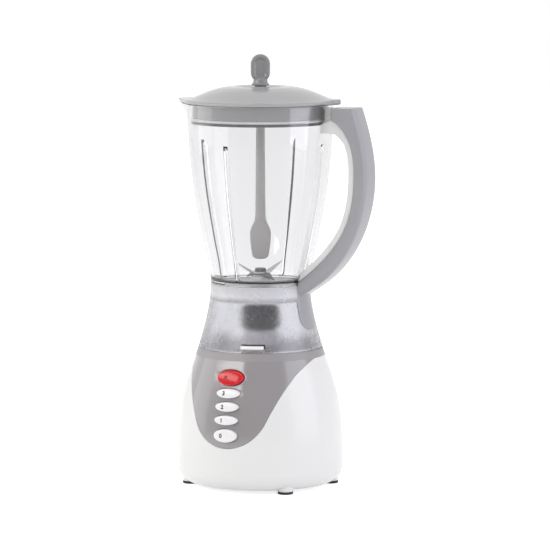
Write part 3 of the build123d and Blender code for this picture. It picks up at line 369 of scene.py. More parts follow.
def strip_face(turn, level, way, height, width, tall, grow, inset):
    """One face of a strip, from a button's hole out to the strip's outline: rings between the two,
    spread evenly in turn and height, laid on the wall."""
    hole_z = height + (tall / 2 + grow) * np.sin(way)
    hole = front_turn((width / 2 + grow) * np.cos(way), hole_z)
    share = np.linspace(0, 1, ring_count)[:, None]
    return front_wall(blend(hole, turn, share), blend(hole_z, level, share), inset)


def hole_lip(way, height, width, tall):
    """The hole's rounded edge, and its bore straight back along Y to the panel's inner face."""
    grow = hole_play + edge_round * (1 - np.sin(round_angle))[:, None]
    x = (width / 2 + grow) * np.cos(way)
    level = height + (tall / 2 + grow) * np.sin(way)
    lip = front_wall(front_turn(x, level), level, 0)
    lip[..., 1] += edge_round * (1 - np.cos(round_angle))[:, None]
    bore = lip[-1:].copy()
    bore[..., 1] += shell_wall - 1
    back = front_wall(front_turn(x[-1:], level[-1:]), level[-1:], shell_wall)
    return np.concatenate([lip, bore, back])


hole_ends = [(height - tall / 2, height + tall / 2) for height, _, tall in buttons.values()]
between = [(below[1] + above[0]) / 2 for below, above in zip(hole_ends, hole_ends[1:])]
levels = [window_tip + panel_gap, *between, band_bottom]
front_gap = panel_gap + edge_round
panel_grids = []
for back_low, high, (height, width, tall) in zip(levels, levels[1:], buttons.values()):
    sizes = (height, width, tall)
    low = back_low + (edge_round if back_low == levels[0] else 0)
    step = np.linspace(edge_step(low, front_gap), edge_step(high, front_gap), side_count)
    front_side, front_z, turn, level = strip_outline(step, front_gap, low, high)
    back_side, back_z, back_turn, back_level = strip_outline(step, panel_gap, back_low, high)
    out = wall_radius(base_wall, level) * turn / width
    way = np.unwrap(np.arctan2((level - height) / tall, out))
    panel_grids += [
        strip_face(turn, level, way, *sizes, hole_play + edge_round, 0),
        strip_face(back_turn, back_level, way, *sizes, hole_play, shell_wall),
        hole_lip(way, *sizes),
    ]
    rim_turn = blend(front_side[:, None], back_side[:, None], slide)
    rim_z = blend(front_z[:, None], back_z[:, None], slide)
    for side in (1, -1):
        rim = front_wall(side * rim_turn, rim_z, sink)
        rim_back = front_wall(side * back_side[:, None], back_z[:, None], shell_wall)
        panel_grids.append(np.concatenate([rim, rim_back], 1))
top_turn = np.append(rim_turn[-1], back_side[-1])[:, None] * np.linspace(-1, 1, across_count)
panel_grids.append(front_wall(top_turn, band_bottom, np.append(sink, shell_wall)[:, None]))
# ABS polished like glass: a warm grey that shows the lights as patches with clear edges
polish = {"Coat_Weight": 1.0, "Coat_Roughness": 0.12}
grey_abs = moulded("abs_moulded_grey", panel_grey, "#989496", 0.15, 1.0, 0.003, 0.02, **polish)
panel = make_piece("panel", "base", grey_abs, *panel_grids)
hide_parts("control_panel")

# ---- Buttons
# Four white number keys and a larger red pulse key, each a pillow-shaped cap with a flange behind
# the panel and a stem into the switch block. The figures are pad printed on the left of each cap.
button_proud = 3.74
cap_round = 1.4
cap_crown = 0.5
flange_thick, flange_wide, flange_play = 1.5, 1, 0.3
stem_radius = 2.5
figure_size, figure_left, figure_bold = 5.2, -3.5, 0.045
ink_depth, ink_proud = 0.03, 0.025
cap_white = "#f8f7f8"
pulse_red = "#d8121f"
print_and_shadow_grey = "#2b2a2c"
print_red = "#7c0a10"
key_body = {name: name.replace("button", "key") for name in buttons}
key_body["pulse_button"] = "pulse"


def cap_front(x, height, width, tall, middle):
    """Distance in Y of a cap's face: the wall moved out, and crowned towards the cap's middle."""
    off = (x / (width / 2)) ** 2 + ((height - middle) / (tall / 2)) ** 2
    reach = wall_radius(base_wall, height) + button_proud
    return -np.sqrt(reach**2 - x**2) - cap_crown * (1 - off)


def button_grid(name, height, width, tall):
    """Oval rings from the cap's middle over its rounded edge, back along its side, round the flange
    and down the stem."""
    stem_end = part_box(name)[1][1] * 1000
    panel_back = wall_radius(base_wall, height + tall / 2) - shell_wall
    flange = flange_play - np.sqrt(panel_back**2 - (width / 2 + flange_wide) ** 2)
    flange_back = flange + flange_thick
    flat = np.array([flange, flange, flange_back, flange_back, stem_end, stem_end])
    inset = np.concatenate(
        [
            np.linspace(1, 0, 10)[:-1] * (tall / 2 - cap_round) + cap_round,
            cap_round * (1 - np.sin(round_angle)),
        ]
    )
    depth = np.concatenate([np.zeros(9), cap_round * (1 - np.cos(round_angle))])
    share = np.clip(1 - (inset - cap_round) / (tall / 2 - cap_round), 0, 1)
    a = np.where(inset > cap_round, share * (width / 2 - cap_round), width / 2 - inset)
    b = tall / 2 - inset
    stem = [stem_radius, stem_radius, 0]
    a = np.concatenate([a, [width / 2, *[width / 2 + flange_wide] * 2, *stem]])
    b = np.concatenate([b, [tall / 2, *[tall / 2 - 0.15] * 2, *stem]])
    turn = np.linspace(0, 2 * pi, 73)
    x = np.outer(a, np.cos(turn))
    z = height + np.outer(b, np.sin(turn))
    y = np.repeat(np.concatenate([np.zeros(len(depth)), flat])[:, None], 73, 1)
    y[: len(depth)] = cap_front(x, z, width, tall, height)[: len(depth)] + depth[:, None]
    return np.stack([x, y, z], -1)


def printed(name, body, material, figure, height, width, tall):
    """A figure in pad-printing ink: its outline laid on the cap's face, a hair proud of it. The
    lettering it is made from keeps the name until the piece is placed."""
    curve = bpy.data.curves.new(name, "FONT")
    curve.body, curve.size = figure, figure_size
    curve.extrude, curve.offset = ink_depth, figure_size * figure_bold
    curve.align_x, curve.align_y, curve.resolution_u = "CENTER", "CENTER", 6
    written = bpy.data.objects.new(name, curve)
    mesh = bpy.data.meshes.new_from_object(written)
    work = bmesh.new()
    work.from_mesh(mesh)
    bmesh.ops.triangulate(work, faces=work.faces)
    bmesh.ops.subdivide_edges(work, edges=work.edges, cuts=3, use_grid_fill=True)
    bmesh.ops.remove_doubles(work, verts=work.verts, dist=1e-4)
    work.to_mesh(mesh)
    work.free()
    at = np.empty(len(mesh.vertices) * 3, np.float32)
    mesh.vertices.foreach_get("co", at)
    u, v, w = at.reshape(-1, 3).T.astype(float)
    across, up = figure_left + u, height + v
    face = cap_front(across, up, width, tall, height) - ink_proud - w
    mesh.vertices.foreach_set("co", (np.stack([across, face, up], -1) / 1000).ravel())
    piece = placed(name, body, material, mesh)
    bpy.data.objects.remove(written)
    return piece


# ABS caps: a clean white, and a bright red that is a little glossier
cap_abs = moulded("abs_moulded_cap_white", cap_white, "#faf9fa", 0.2, 0.8, 0.003, 0.03)
pulse_abs = moulded("abs_moulded_red", pulse_red, "#d81822", 0.14, 0.8, 0.003, 0.03)
# pad-printing ink: dry and flat against the gloss of the caps; the grey one also darkens a strip by
# the collar mark as a painted shadow
figure_ink_and_shadow = moulded("ink_pad_printed_grey_and_painted_shadow", print_and_shadow_grey, "#444345", 0.5, 0.3, 0.004)
pulse_ink = moulded("ink_pad_printed_red", print_red, "#840d13", 0.5, 0.3, 0.004)
for name, sizes in buttons.items():
    is_pulse = name == "pulse_button"
    finish = pulse_abs if is_pulse else cap_abs
    cap = make_piece(name + "_cap", key_body[name], finish, button_grid(name, *sizes))
    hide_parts(name)
    ink, sign = (pulse_ink, "P") if is_pulse else (figure_ink_and_shadow, name[-1])
    figure = printed(name + "_figure", key_body[name], ink, sign, *sizes)

# ---- Collar
# The jug stands in a frosted collar of polypropylene, cloudy enough that the coupling inside is
# only a dark blur. It is one moulding with a ledge that the blade carrier's lugs turn under.
collar_wall = np.array([(130, 58.4, -0.3), (190, 46.6, 0)], float)
frost = "#f3f3f7"


def see_through(name, colour, roughness, ior, grain, depth, clear=1.0):
    """A clear or frosted plastic: light goes through, and its skin has a faint moulded ripple."""
    material, tree, shader, place = bare_material(name)
    shader.inputs["Transmission Weight"].default_value = clear
    shader.inputs["IOR"].default_value = ior
    shader.inputs["Base Color"].default_value = linear(colour)
    ripple = add_node(tree, "ShaderNodeTexNoise", {"Vector": place, "Scale": 1000 / grain})
    grained(tree, shader, ripple, roughness * 0.9, roughness * 1.1, depth)
    return material


def surface_height(material):
    """A material's tree, and in it the height of each point of the surface, in metres."""
    tree = material.node_tree
    place = tree.nodes["Texture Coordinate"].outputs["Object"]
    return tree, add_node(tree, "ShaderNodeSeparateXYZ", {"Vector": place}).outputs["Z"]


collar_line = np.concatenate(
    [
        wall_line(collar_wall, 131.0, 188.0, 0, 40),
        rounded(
            [(46.6, 188.1, 0), (46.6, 188.8, 0.6), (38.9, 188.8, 1.5), (38.9, 185.2, 1.5)]
            + [(44.1, 185.2, 1.6), (44.4, 181.4, 1.6), (38.9, 181.4, 1.4), (38.9, 178.4, 1.4)]
            + [(44.9, 176.0, 3), (45.4, 172.0, 0)]
        ),
        wall_line(collar_wall, 171.0, 131.0, 2.6, 30),
        [(55.9, 130.3), (57.9, 130.3)],
        wall_line(collar_wall, 131.0, 131.0, 0, 1),
    ]
)
# frosted polypropylene: thin walls pass a blurred grey of what is behind them, and the thick ring
# at the top is milky
frosted_pp = see_through("polypropylene_frosted", frost, 0.26, 1.49, 8.0, 0.002)
tree, high = surface_height(frosted_pp)
milk = {"Value": high, "From Min": 0.173, "From Max": 0.181, "To Min": 0.955, "To Max": 0.35}
cloud = add_node(tree, "ShaderNodeMapRange", milk).outputs["Result"]
tree.links.new(cloud, tree.nodes["Principled BSDF"].inputs["Transmission Weight"])
collar = make_piece("collar_frosted", "jug", frosted_pp, turned(collar_line))
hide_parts("collar")


def wall_bar(low, high, first, last, proud):
    """A bar bent round the collar: a rounded section carried from one turn to another, both ends
    closed to their middle points."""
    out, level = rounded(
        [(-0.3, low, 0), (proud, low, proud / 3), (proud, high, proud / 3), (-0.3, high, 0)]
        + [(-0.3, low, 0)]
    ).T
    turn = radians(first) + radians(last - first) * np.linspace(0, 1, 25)[:, None]
    radius = wall_radius(collar_wall, level) + out
    bar = about_axis(radius, turn, level)
    middle = bar[:, :-1].mean(1, keepdims=True) + 0 * bar
    return np.concatenate([middle[:1], bar, middle[-1:]])


# a raised white mark on the collar's foot, over a thin dark strip that shows above and to the right
# of it as a painted shadow
mark_bar = wall_bar(134.0, 137.0, -84, -62.5, 0.9)
painted_shadow_bar = wall_bar(134.3, 138.4, -84, -61, 0.2)
thumb_mark = make_piece("collar_mark", "jug", cap_abs, mark_bar)
# painted shadow: a dark strip edging the mark, in the grey ink
mark_shade = make_piece("collar_mark_shade", "jug", figure_ink_and_shadow, painted_shadow_bar)

# ---- Jug
# The jug is one clear SAN moulding, thick walled and slightly flared, with four inner ribs that
# break the swirl, a drawn-out spout, a rolled rim, and a block and strip that carry the handle.
rim_height = 358.4
jug_side = [(190, 46.6, 0), (230, 53.5, 0.2), (286, 63.5, 0.13), (rim_height, 68.5, 0.03)]
jug_side = np.array(jug_side, float)
jug_wall = 2.6
floor_hole, floor_low, floor_top = 34.0, 190.0, 193.0
cove_radius = 4
rib_turns = radians(-95) + np.arange(4) * pi / 2
rib_depth, rib_top, rib_half, rib_place = 5.0, 322.0, 1.9, 55
rib_steps = np.array([0, 0.25, 0.5, 0.7, 0.83, 0.93, 1, 1.15, 1.5])
spout_low = 331.0


def beaked(turn, body, reach, nose):
    """Distance from the axis to a round outline with a beak towards -X: straight sides that touch
    the circle and the beak's round nose."""
    away = np.abs(turn % (2 * pi) - pi)
    centre = reach - nose
    lean = np.arccos(np.clip((body - nose) / np.maximum(centre, 1e-6), -1, 1))
    lean = np.where(centre > body - nose, lean, 0)
    touch = np.arctan2(nose * np.sin(lean), centre + nose * np.cos(lean))
    tip = centre * np.cos(away) + np.sqrt(np.maximum(nose**2 - (centre * np.sin(away)) ** 2, 0))
    side = body / np.cos(np.minimum(np.abs(away - lean), 1.4))
    return np.where(lean == 0, body, np.where(away < touch, tip, np.where(away < lean, side, body)))


def spout_reach(height):
    """Reach of the spout at a height: a parabola from inside the wall out to the rim's beak."""
    t = (height - spout_low) / (rim_height - spout_low)
    return 66.6 + t * (16.4 + 5.4 * (1 - t))


# the turns are closer at the ribs; the heights go up the outside, over the lip, down the inside,
# round the cove and across the floor to its hole
rib_side = rib_half * rib_steps / rib_place
rib_edges = [(rib_turns[:, None] + rib_side).ravel(), (rib_turns[:, None] - rib_side).ravel()]
jug_turn = np.concatenate([np.linspace(-pi, pi, 181)[1:-1], *rib_edges])
jug_turn = (np.unique(jug_turn.round(9)) + pi) % (2 * pi) - pi
jug_turn = np.concatenate([[-pi], np.sort(jug_turn), [pi]])
foot = np.linspace(0, pi / 2, 6)
lip = np.linspace(0, pi, 13)
cove = np.linspace(0, pi / 2, 7)[1:]
outside = [np.linspace(191.6, 330, 60), np.linspace(331.5, rim_height - 1.4, 22)]
inside = [
    np.linspace(rim_height - 1.4, 331.5, 22),
    np.linspace(330, 326, 4),
    np.linspace(325, 317, 9),
    np.linspace(315, 197.6, 48),
]
out_count, in_count = (sum(len(part) for part in side) for side in (outside, inside))
height = np.concatenate(
    [
        floor_low + 1.2 * (1 - np.cos(foot)),
        *outside,
        rim_height - 1.3 + 1.3 * np.sin(lip),
        *inside,
        floor_top + cove_radius - cove_radius * np.sin(cove),
        np.full(4, floor_top),
        np.full(2, floor_low),
    ]
)
inset = np.concatenate(
    [
        1.2 * (1 - np.sin(foot)),
        np.zeros(out_count),
        1.3 * (1 - np.cos(lip)),
        np.full(in_count, jug_wall),
        jug_wall + cove_radius * (1 - np.cos(cove)),
        np.full(4, jug_wall + cove_radius),
        [0.0, 1.2],
    ]
)
to_hole = np.concatenate([np.zeros(len(height) - 6), [0.3, 0.6, 0.9, 1.0, 1.0, 0.0]])
is_inner = np.arange(len(height)) >= len(foot) + out_count + len(lip)
body_radius = wall_radius(jug_side, np.minimum(height, rim_height))
reach = np.where(height > spout_low, spout_reach(height), 0)
nose = 6 - np.minimum(inset, 3.4)
radius = beaked(
    jug_turn[None], (body_radius - inset)[:, None], (reach - inset)[:, None], nose[:, None]
)
off = np.abs((jug_turn[:, None] - rib_turns + pi) % (2 * pi) - pi).min(1) * rib_place / rib_half
rib_plan = np.sqrt(np.maximum(1 - off**4, 0))
rib_rise = np.sqrt(np.clip((rib_top - height) / 5, 0, 1)) * is_inner * (height > floor_low + 0.5)
radius = radius - rib_depth * (rib_rise * (1 - to_hole))[:, None] * rib_plan
radius = blend(radius, floor_hole, to_hole[:, None])
jug_grid = about_axis(radius, jug_turn, height[:, None])

# the clear block and strip that the handle is screwed to lie along the handle's inner line
grip_way = [(77, 345.4), (94, 327.4), (100, 293), (91.3, 246), (72.2, 218), (44.6, 193.1)]


def spline(points, first, last, count):
    """Points at even steps along the cubic through given points, with given directions at its ends:
    the slopes solve the usual three-term system on chord lengths."""
    points = np.array(points, float)
    chord = np.linalg.norm(np.diff(points, axis=0), axis=1)
    knots = np.concatenate([[0], np.cumsum(chord)])
    size = len(points)
    system, right = np.eye(size), np.zeros((size, 2))
    right[0] = np.array(first) / np.linalg.norm(first)
    right[-1] = np.array(last) / np.linalg.norm(last)
    inside = np.arange(1, size - 1)
    before, after = chord[inside - 1], chord[inside]
    system[inside, inside - 1] = after
    system[inside, inside] = 2 * (before + after)
    system[inside, inside + 1] = before
    rise = np.diff(points, axis=0) / chord[:, None]
    right[inside] = 3 * (after[:, None] * rise[inside - 1] + before[:, None] * rise[inside])
    slope = np.linalg.solve(system, right)
    at = np.linspace(0, knots[-1], 40 * count + 1)
    part = np.clip(np.searchsorted(knots, at) - 1, 0, size - 2)
    t = ((at - knots[part]) / chord[part])[:, None]
    ends = points[part], points[part + 1], slope[part], slope[part + 1]
    fine = cubic(t, chord[part][:, None], *ends)
    length = np.concatenate([[0], np.cumsum(np.linalg.norm(np.diff(fine, axis=0), axis=1))])
    even = np.linspace(0, length[-1], count)
    return np.stack([np.interp(even, length, part) for part in fine.T], -1)


def carried(inner, outer, section, crown=0.0):
    """A section carried between two lines in the XZ plane: each section point is a share of the way
    from the inner line to the outer one, an offset along that way, and a place in Y. Both ends are
    closed, the first over an edge rounded by the crown."""
    share, offset, across = section
    way = outer - inner
    way_length = np.linalg.norm(way, axis=1)[:, None]
    place = (way_length * share + offset)[..., None] * (way / way_length)[:, None] + inner[:, None]
    y = np.repeat(across[None], len(inner), 0)
    grid = np.stack([place[..., 0], y, place[..., 1]], -1)
    if crown:
        angle = np.linspace(pi / 2, 0, 6)[:-1, None, None]
        middle, reach = grid[0].mean(0), np.ptp(grid[0, :, 1]) / 2
        rows = middle + (grid[0] - middle) * (1 - crown / reach * (1 - np.cos(angle)))
        grid = np.concatenate([rows + crown * np.sin(angle) * np.array([0, 0, 1]), grid])
    tips = grid[[0, -1]]
    middles = tips.mean(1, keepdims=True) + 0 * tips
    halfway = blend(middles, tips, 0.5)
    return np.stack([middles[0], halfway[0], *grid, halfway[1], middles[1]])


def bar_section(half_width, inner_radius, outer_radius):
    """A closed section with four rounded corners, from the inner line to the outer one."""
    steps = 8
    angle = np.linspace(0, pi / 2, steps)
    near_y, far_y = (half_width - r + r * np.sin(angle) for r in (inner_radius, outer_radius))
    near_in, far_in = (r * (1 - np.cos(angle)) for r in (inner_radius, outer_radius))
    share = np.concatenate([np.zeros(steps), np.ones(2 * steps), np.zeros(steps)])
    offset = np.concatenate([near_in, -far_in[::-1], -far_in, near_in[::-1]])
    across = np.concatenate([near_y, far_y[::-1], -far_y, -near_y[::-1]])
    return tuple(np.concatenate([part, part[:1]]) for part in (share, offset, across))


grip_line = spline(grip_way, (1, -0.5), (-1, -0.8), 60)
normal = np.gradient(grip_line, axis=0)
normal = np.stack([normal[:, 1], -normal[:, 0]], -1) / np.linalg.norm(normal, axis=1)[:, None]


def neck_grid(low, high, reach):
    """The bracket's neck: it flares down to the bar with a round hollow on each side, its inner
    face is sunk into the jug's wall, and its outer face lies against the handle."""
    level = np.concatenate([np.linspace(low, low + 6, 13), np.linspace(low + 7, high, 8)])
    flare = np.clip((level - low) / 6, 0, 1)
    half = 5 + 7 * (1 - np.sqrt(1 - (1 - flare) ** 2))
    u = np.linspace(-1, 1, 25)
    y = np.outer(half, u)
    wall = wall_radius(jug_side, level)[:, None] - 0.7
    z = level[:, None] + 0 * y
    inner = np.stack([np.sqrt(wall**2 - y**2), y, z], -1)
    outer = np.stack([reach - 1.5 * np.abs(u) ** 10 + 0 * y, y, z], -1)
    around = np.concatenate([inner, outer[:, ::-1], inner[:, :1]], 1)
    return around, np.stack([inner[0], outer[0]]), np.stack([inner[-1], outer[-1]])


# the strip runs 0.1 to 5.9 mm under the handle; above its start an arm runs back to the jug's wall
over_line, under_line = grip_line + normal * 0.1, grip_line + normal * 5.9
past = int((under_line[:, 1] > 325).sum())
arm_low = spline([(66.2, 332.4), (80, 332), under_line[past]], (1, 0), (1, -1.2), 20)
arm_high = np.concatenate([np.linspace((66.6, 341), (76.6, 345.2), 8), over_line[: past + 1]])
arm_at = np.arange(len(arm_high))
arm_even = np.linspace(0, 1, 20) * arm_at[-1]
arm_high = np.stack([np.interp(arm_even, arm_at, part) for part in arm_high.T], -1)
strip_low = np.concatenate([arm_low[:-1], under_line[past:]])
strip_high = np.concatenate([arm_high[:-1], over_line[past:]])
strip = carried(strip_low, strip_high, bar_section(12.0, 1.0, 1.0))
neck = neck_grid(342.0, 355.8, 76.8)
# clear SAN: glassy, with dark lines only where its edges bend the light, and a slow ripple
clear_san = see_through("san_moulded_clear", "#f8f8f9", 0.015, 1.5, 30.0, 0.02)
jug = make_piece("jug_clear", "jug", clear_san, jug_grid)
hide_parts("jug")
# the same SAN where it is solid: so many inner reflections that it looks a pale, cloudy white
thick_san = see_through("san_moulded_thick", "#ffffff", 0.15, 1.5, 30.0, 0.02, 0.2)
bracket = make_piece("jug_bracket", "jug", thick_san, strip, *neck)

# ---- Handle
# A grey ABS cover is slid over the jug's clear strip and held by one screw from above. Its lower
# end runs on as a tail that lies on the collar.
handle_grey = "#a6a5a9"


def tail_grid():
    """The tail: a rounded patch laid on the collar's wall, crowned at its edges."""
    half, top, low, corner = 15.5, 188.6, 149.0, 10.0
    u = np.linspace(-1, 1, 33)
    v = np.concatenate([1 - np.cos(np.linspace(0, pi / 2, 13)), np.linspace(1.2, 4, 16)])
    level = low + (top - low) * v / 4
    into = np.clip((low + corner - level) / corner, 0, 1)
    width = half - corner + corner * np.sqrt(1 - into**2)
    y = np.outer(width, u)
    z = level[:, None] + 0 * y
    radius = wall_radius(collar_wall, z) + 0.5 - 0.5 * np.abs(u) ** 16
    front = np.stack([np.sqrt(radius**2 - y**2), y, z], -1)
    back = front - np.array([1.4, 0, 0])
    around = [front, back]
    around += [np.stack([front[:, k], back[:, k]], 1) for k in (0, -1)]
    around += [np.stack([front[k], back[k]]) for k in (0, -1)]
    return around


handle_crown = 0.8
handle_top = 356.4 - handle_crown
handle_inner = np.concatenate([np.linspace((77, handle_top), (77, 346.2), 6), grip_line])
back_way = [(99.2, handle_top), (112, 294), (98.6, 233), (67.6, 194.2), (44.6, 178.5)]
handle_outer = spline(back_way, (0.35, -1), (-1, -0.7), len(handle_inner))
handle_bar = carried(handle_inner, handle_outer, bar_section(14.5, 2.4, 5.5), handle_crown)
# ABS with a pearl grey batch colour: smooth, with one long soft highlight down the grip
cover_abs = moulded("abs_moulded_handle_grey", handle_grey, "#a2a1a5", 0.18, 1.0, 0.004, 0.03)
handle = make_piece("handle", "jug", cover_abs, handle_bar, *tail_grid())
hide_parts("handle_cover")

# ---- Lid
# The lid is a grey polypropylene moulding, gloss on top, with a brim drawn out over the spout and
# to a thumb tab at the handle. Its skirt plugs the jug, sealed by a soft ring with two lips.
lid_grey = "#b0aeaf"
brim_top = 361.5
brim_low = 358.7
brim_half = (brim_top - brim_low) / 2
tab_half, tab_centre, tab_reach = 11, 70, 81.0
dome_under = 369.5
lid_turn = np.linspace(-pi, pi, 241)


def brim_radius(turn):
    """Distance from the axis to the brim's outline: a circle with a beak towards -X, and towards +X
    a tab with straight sides and a half-round end."""
    beak = beaked(turn, 71.0, 84.5, 7.0)
    away = np.abs((turn + pi) % (2 * pi) - pi)
    across = tab_centre * np.sin(away)
    end = tab_centre * np.cos(away) + np.sqrt(np.maximum(tab_half**2 - across**2, 0))
    side = tab_half / np.maximum(np.sin(away), 0.05)
    tab = np.where(end * np.cos(away) > tab_centre, end, side)
    tab = np.where(np.abs(across) < tab_half, tab, side)
    return np.where(away < 0.5, np.maximum(beak, np.minimum(tab, tab_reach)), beak)


brim = brim_radius(lid_turn)
brim = np.concatenate([brim[:1], (brim[:-2] + 2 * brim[1:-1] + brim[2:]) / 4, brim[-1:]])
# rows of the lid: out over the dome, round the brim's edge and back under it, down and up the
# skirt, and in under the dome; a row's radius is its own, plus a share of the brim's outline
dome_way = [(9.6, 372), (14, 372), (20, 373), (26, 373.9), (32.4, 373.5), (45.6, 370.4)]
dome_way += [(57.8, 365.6), (66, 362.3), (70, brim_top)]
dome_line = spline(dome_way, (1, 0), (1, 0), 60)[:-1]
body_rows = np.concatenate([[(9.2, dome_under)], dome_line, [(68.4, brim_top)]])
edge = np.linspace(0, pi, 13)
edge_inset = brim_half - brim_half * np.sin(edge)
edge_level = brim_low + brim_half + brim_half * np.cos(edge)
skirt = [(66, brim_low, 0), (63.5, brim_low, 0.3), (63.5, 343.2, 0.6), (61, 343.2, 0.6)]
under_rows = rounded(skirt + [(61, 361.0, 3), (32.4, dome_under, 8), (9.2, dome_under, 0)])
body_count, under_count = len(body_rows), len(under_rows)
share = np.repeat([0, 0.5, 1, 0.5, 0], [body_count, 1, len(edge), 1, under_count])
offset = np.concatenate([body_rows[:, 0], [34.2], -edge_inset, [33.0], under_rows[:, 0]])
level = np.concatenate([body_rows[:, 1], [brim_top], edge_level, [brim_low], under_rows[:, 1]])
radius = np.outer(share, brim) + offset[:, None]
tab_rise = 2.2 * np.clip((brim - 71.5) / 8, 0, 1) * (np.abs(lid_turn) < 0.5)
is_top = np.arange(len(level)) < body_count + 8
lift = is_top[:, None] * tab_rise * np.clip((radius - 66) / 6, 0, 1)
lid_grid = about_axis(radius, lid_turn, level[:, None] + lift)
# gloss polypropylene: a pale warm grey, slightly waxy, with a broad highlight over the dome
lid_pp = moulded("polypropylene_moulded_grey", lid_grey, "#abaaab", 0.13, 1.6, 0.005, 0.03)
lid = make_piece("lid_cover", "lid", lid_pp, lid_grid)
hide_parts("lid")
ball_height, ball_radius, cup_radius = 370.5, 6.8, 6.87
socket_line = [(cup_radius, 367.6), (8.6, 367.6), (8.6, 369.6), (9.1, 369.6), (9.1, 373.2)]
cup = np.arcsin(np.linspace(2.9, -2.8, 13) / cup_radius)
cup_line = np.stack([cup_radius * np.cos(cup), ball_height + cup_radius * np.sin(cup)], -1)
socket_line = [*socket_line, (8.7, 373.6), *cup_line, socket_line[0]]
socket = make_piece("stirrer_ball_socket", "swivel", lid_pp, turned(socket_line, 96))
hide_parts("stirrer_socket")
seal_line = rounded(
    [(61.0, 339.9, 0), (62.6, 339.7, 0.5), (64.8, 340.0, 0.4), (64.8, 342.0, 0.4)]
    + [(64.0, 342.6, 0.2), (64.9, 343.4, 0.5), (64.5, 344.8, 0.4), (63.52, 345.0, 0.1)]
    + [(63.52, 343.15, 0), (61.0, 343.15, 0), (61.0, 339.9, 0)]
)


def painted_light_above(material, level, colour):
    """A paler colour painted on where the surface is above a level in metres: painted light."""
    tree, high = surface_height(material)
    first = tree.nodes["Mix"].outputs["Result"]
    above = add_node(tree, "ShaderNodeMath", {0: high, 1: level}, operation="GREATER_THAN")
    tinted(tree, tree.nodes["Principled BSDF"], above.outputs["Value"], first, linear(colour))


# dark grey silicone, dull; above a height its upper lip is painted white, a painted highlight where
# the lip catches the light
seal_rubber = moulded("silicone_painted_highlight", "#5f5d5e", "#595758", 0.3, 1.0, 0.01)
# painted highlight: the seal's colour turns white above 342.5 mm
painted_light_above(seal_rubber, 0.3425, "#ffffff")
seal = make_piece("lid_seal_ring", "lid", seal_rubber, turned(seal_line))
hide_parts("lid_seal")

# ---- Stirrer
# A grey stirrer hangs through the lid: a loop-shaped knob on a ball that turns and tilts in a
# socket, a round rod, and a flat paddle moulded in one with the rod.
face_turn = radians(25)
across = np.array([cos(face_turn), sin(face_turn), 0])
outward = np.array([sin(face_turn), -cos(face_turn), 0])
upward = np.array([0, 0, 1])
knob_middle = 390.9
knob_grey = "#939294"


def rod_grid():
    """Sections down the rod: round at the ball and the rod, wide and flat at the paddle."""
    ball = np.linspace(0.585, pi - 0.585, 25)
    z = [382.0, 382.0, 377.0, *(ball_height + ball_radius * np.cos(ball))]
    z += [360.0, 330.0, 290.0, 262.0]
    wide = [0, 3.7, 3.75, *(ball_radius * np.sin(ball)), 3.83, 4.1, 4.45, 4.72]
    thick = list(wide)
    foot = np.linspace(0, pi / 2, 13)[1:]
    drop = np.array([0, 3, 6, 9, 12, 15, 18, 22, 26, 30, 34, 38])
    z += (254.5 - drop).tolist() + (216.5 - 4.0 * np.sin(foot)).tolist()
    span = np.array([4.8, 5.0, 5.6, 6.8, 8.3, 9.4, 9.8, 9.7, 9.4, 9.0, 8.4, 7.7])
    wide += span.tolist() + (7.7 * np.cos(foot) ** 0.8).tolist()
    thick += [4.7, 4.4, 3.9, 3.2, 2.5, 2.0, 1.8, 1.7, 1.65, 1.6, 1.6, 1.6]
    thick += (1.6 * np.cos(foot) ** 0.5).tolist()
    z, wide, thick = (np.array(part)[:, None] for part in (z, wide, thick))
    turn = np.linspace(0, 2 * pi, 49)
    power = np.where(wide > 1.3 * thick, 0.55, 1.0)
    u = wide * np.sign(np.cos(turn)) * np.abs(np.cos(turn)) ** power
    v = thick * np.sign(np.sin(turn)) * np.abs(np.sin(turn)) ** power
    return u[..., None] * across + v[..., None] * outward + z[..., None] * upward


def knob_grid():
    """Loop-shaped rings over the sunk face, its raised rim, the edge and the back, each a stadium
    outline at an inset from the knob's side and a depth from its middle."""
    half, reach = 4.05, 8.95
    inset = [reach, 5.2, 4.9, 4.6, 3.4, 3.1, 2.9, 2.6, 1.6, 0.8, 0.3, 0.05, 0]
    depth = [2.0, 2.0, 2.05, 2.2, 3.2, 3.42, 3.5, 3.5, 3.4, 3.1, 2.6, 2.0, 1]
    inset += [0, 0.05, 0.3, 0.8, 1.6, 3.0, reach]
    depth += [-1, -2, -2.7, -3.2, -3.45, -3.5, -3.5]
    angle = np.concatenate([np.linspace(0, pi, 25), np.linspace(pi, 2 * pi, 25), [0]])
    shift = np.concatenate([np.full(25, half), np.full(25, -half), [half]])
    ring = (reach - np.array(inset))[:, None]
    u, w = ring * np.cos(angle), ring * np.sin(angle) + shift
    depth = np.array(depth)[:, None] + 0 * u
    z = knob_middle + w
    return u[..., None] * across + depth[..., None] * outward + z[..., None] * upward


foot_line = rounded(
    [(3.8, 374.95, 0), (8.3, 374.95, 0.5), (8.3, 376.5, 0.6), (6.9, 377.1, 0.5)]
    + [(6.3, 380.5, 1.5), (3.8, 382.4, 0), (3.8, 374.95, 0)]
)
# polypropylene: a satin rod and paddle that food rinses off, and a glossier, darker knob
rod_pp = moulded("polypropylene_moulded_rod_grey", "#b6b3b2", "#b1aead", 0.25, 1.0, 0.005, 0.03)
knob_pp = moulded("polypropylene_moulded_knob_grey", knob_grey, "#8e8d8f", 0.15, 1.0, 0.004, 0.03)
rod = make_piece("stirrer_paddle_rod", "stirrer", rod_pp, rod_grid())
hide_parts("stirrer_rod")
knob = make_piece("stirrer_loop_knob", "stirrer", knob_pp, knob_grid(), turned(foot_line, 72))
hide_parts("stirrer_knob")

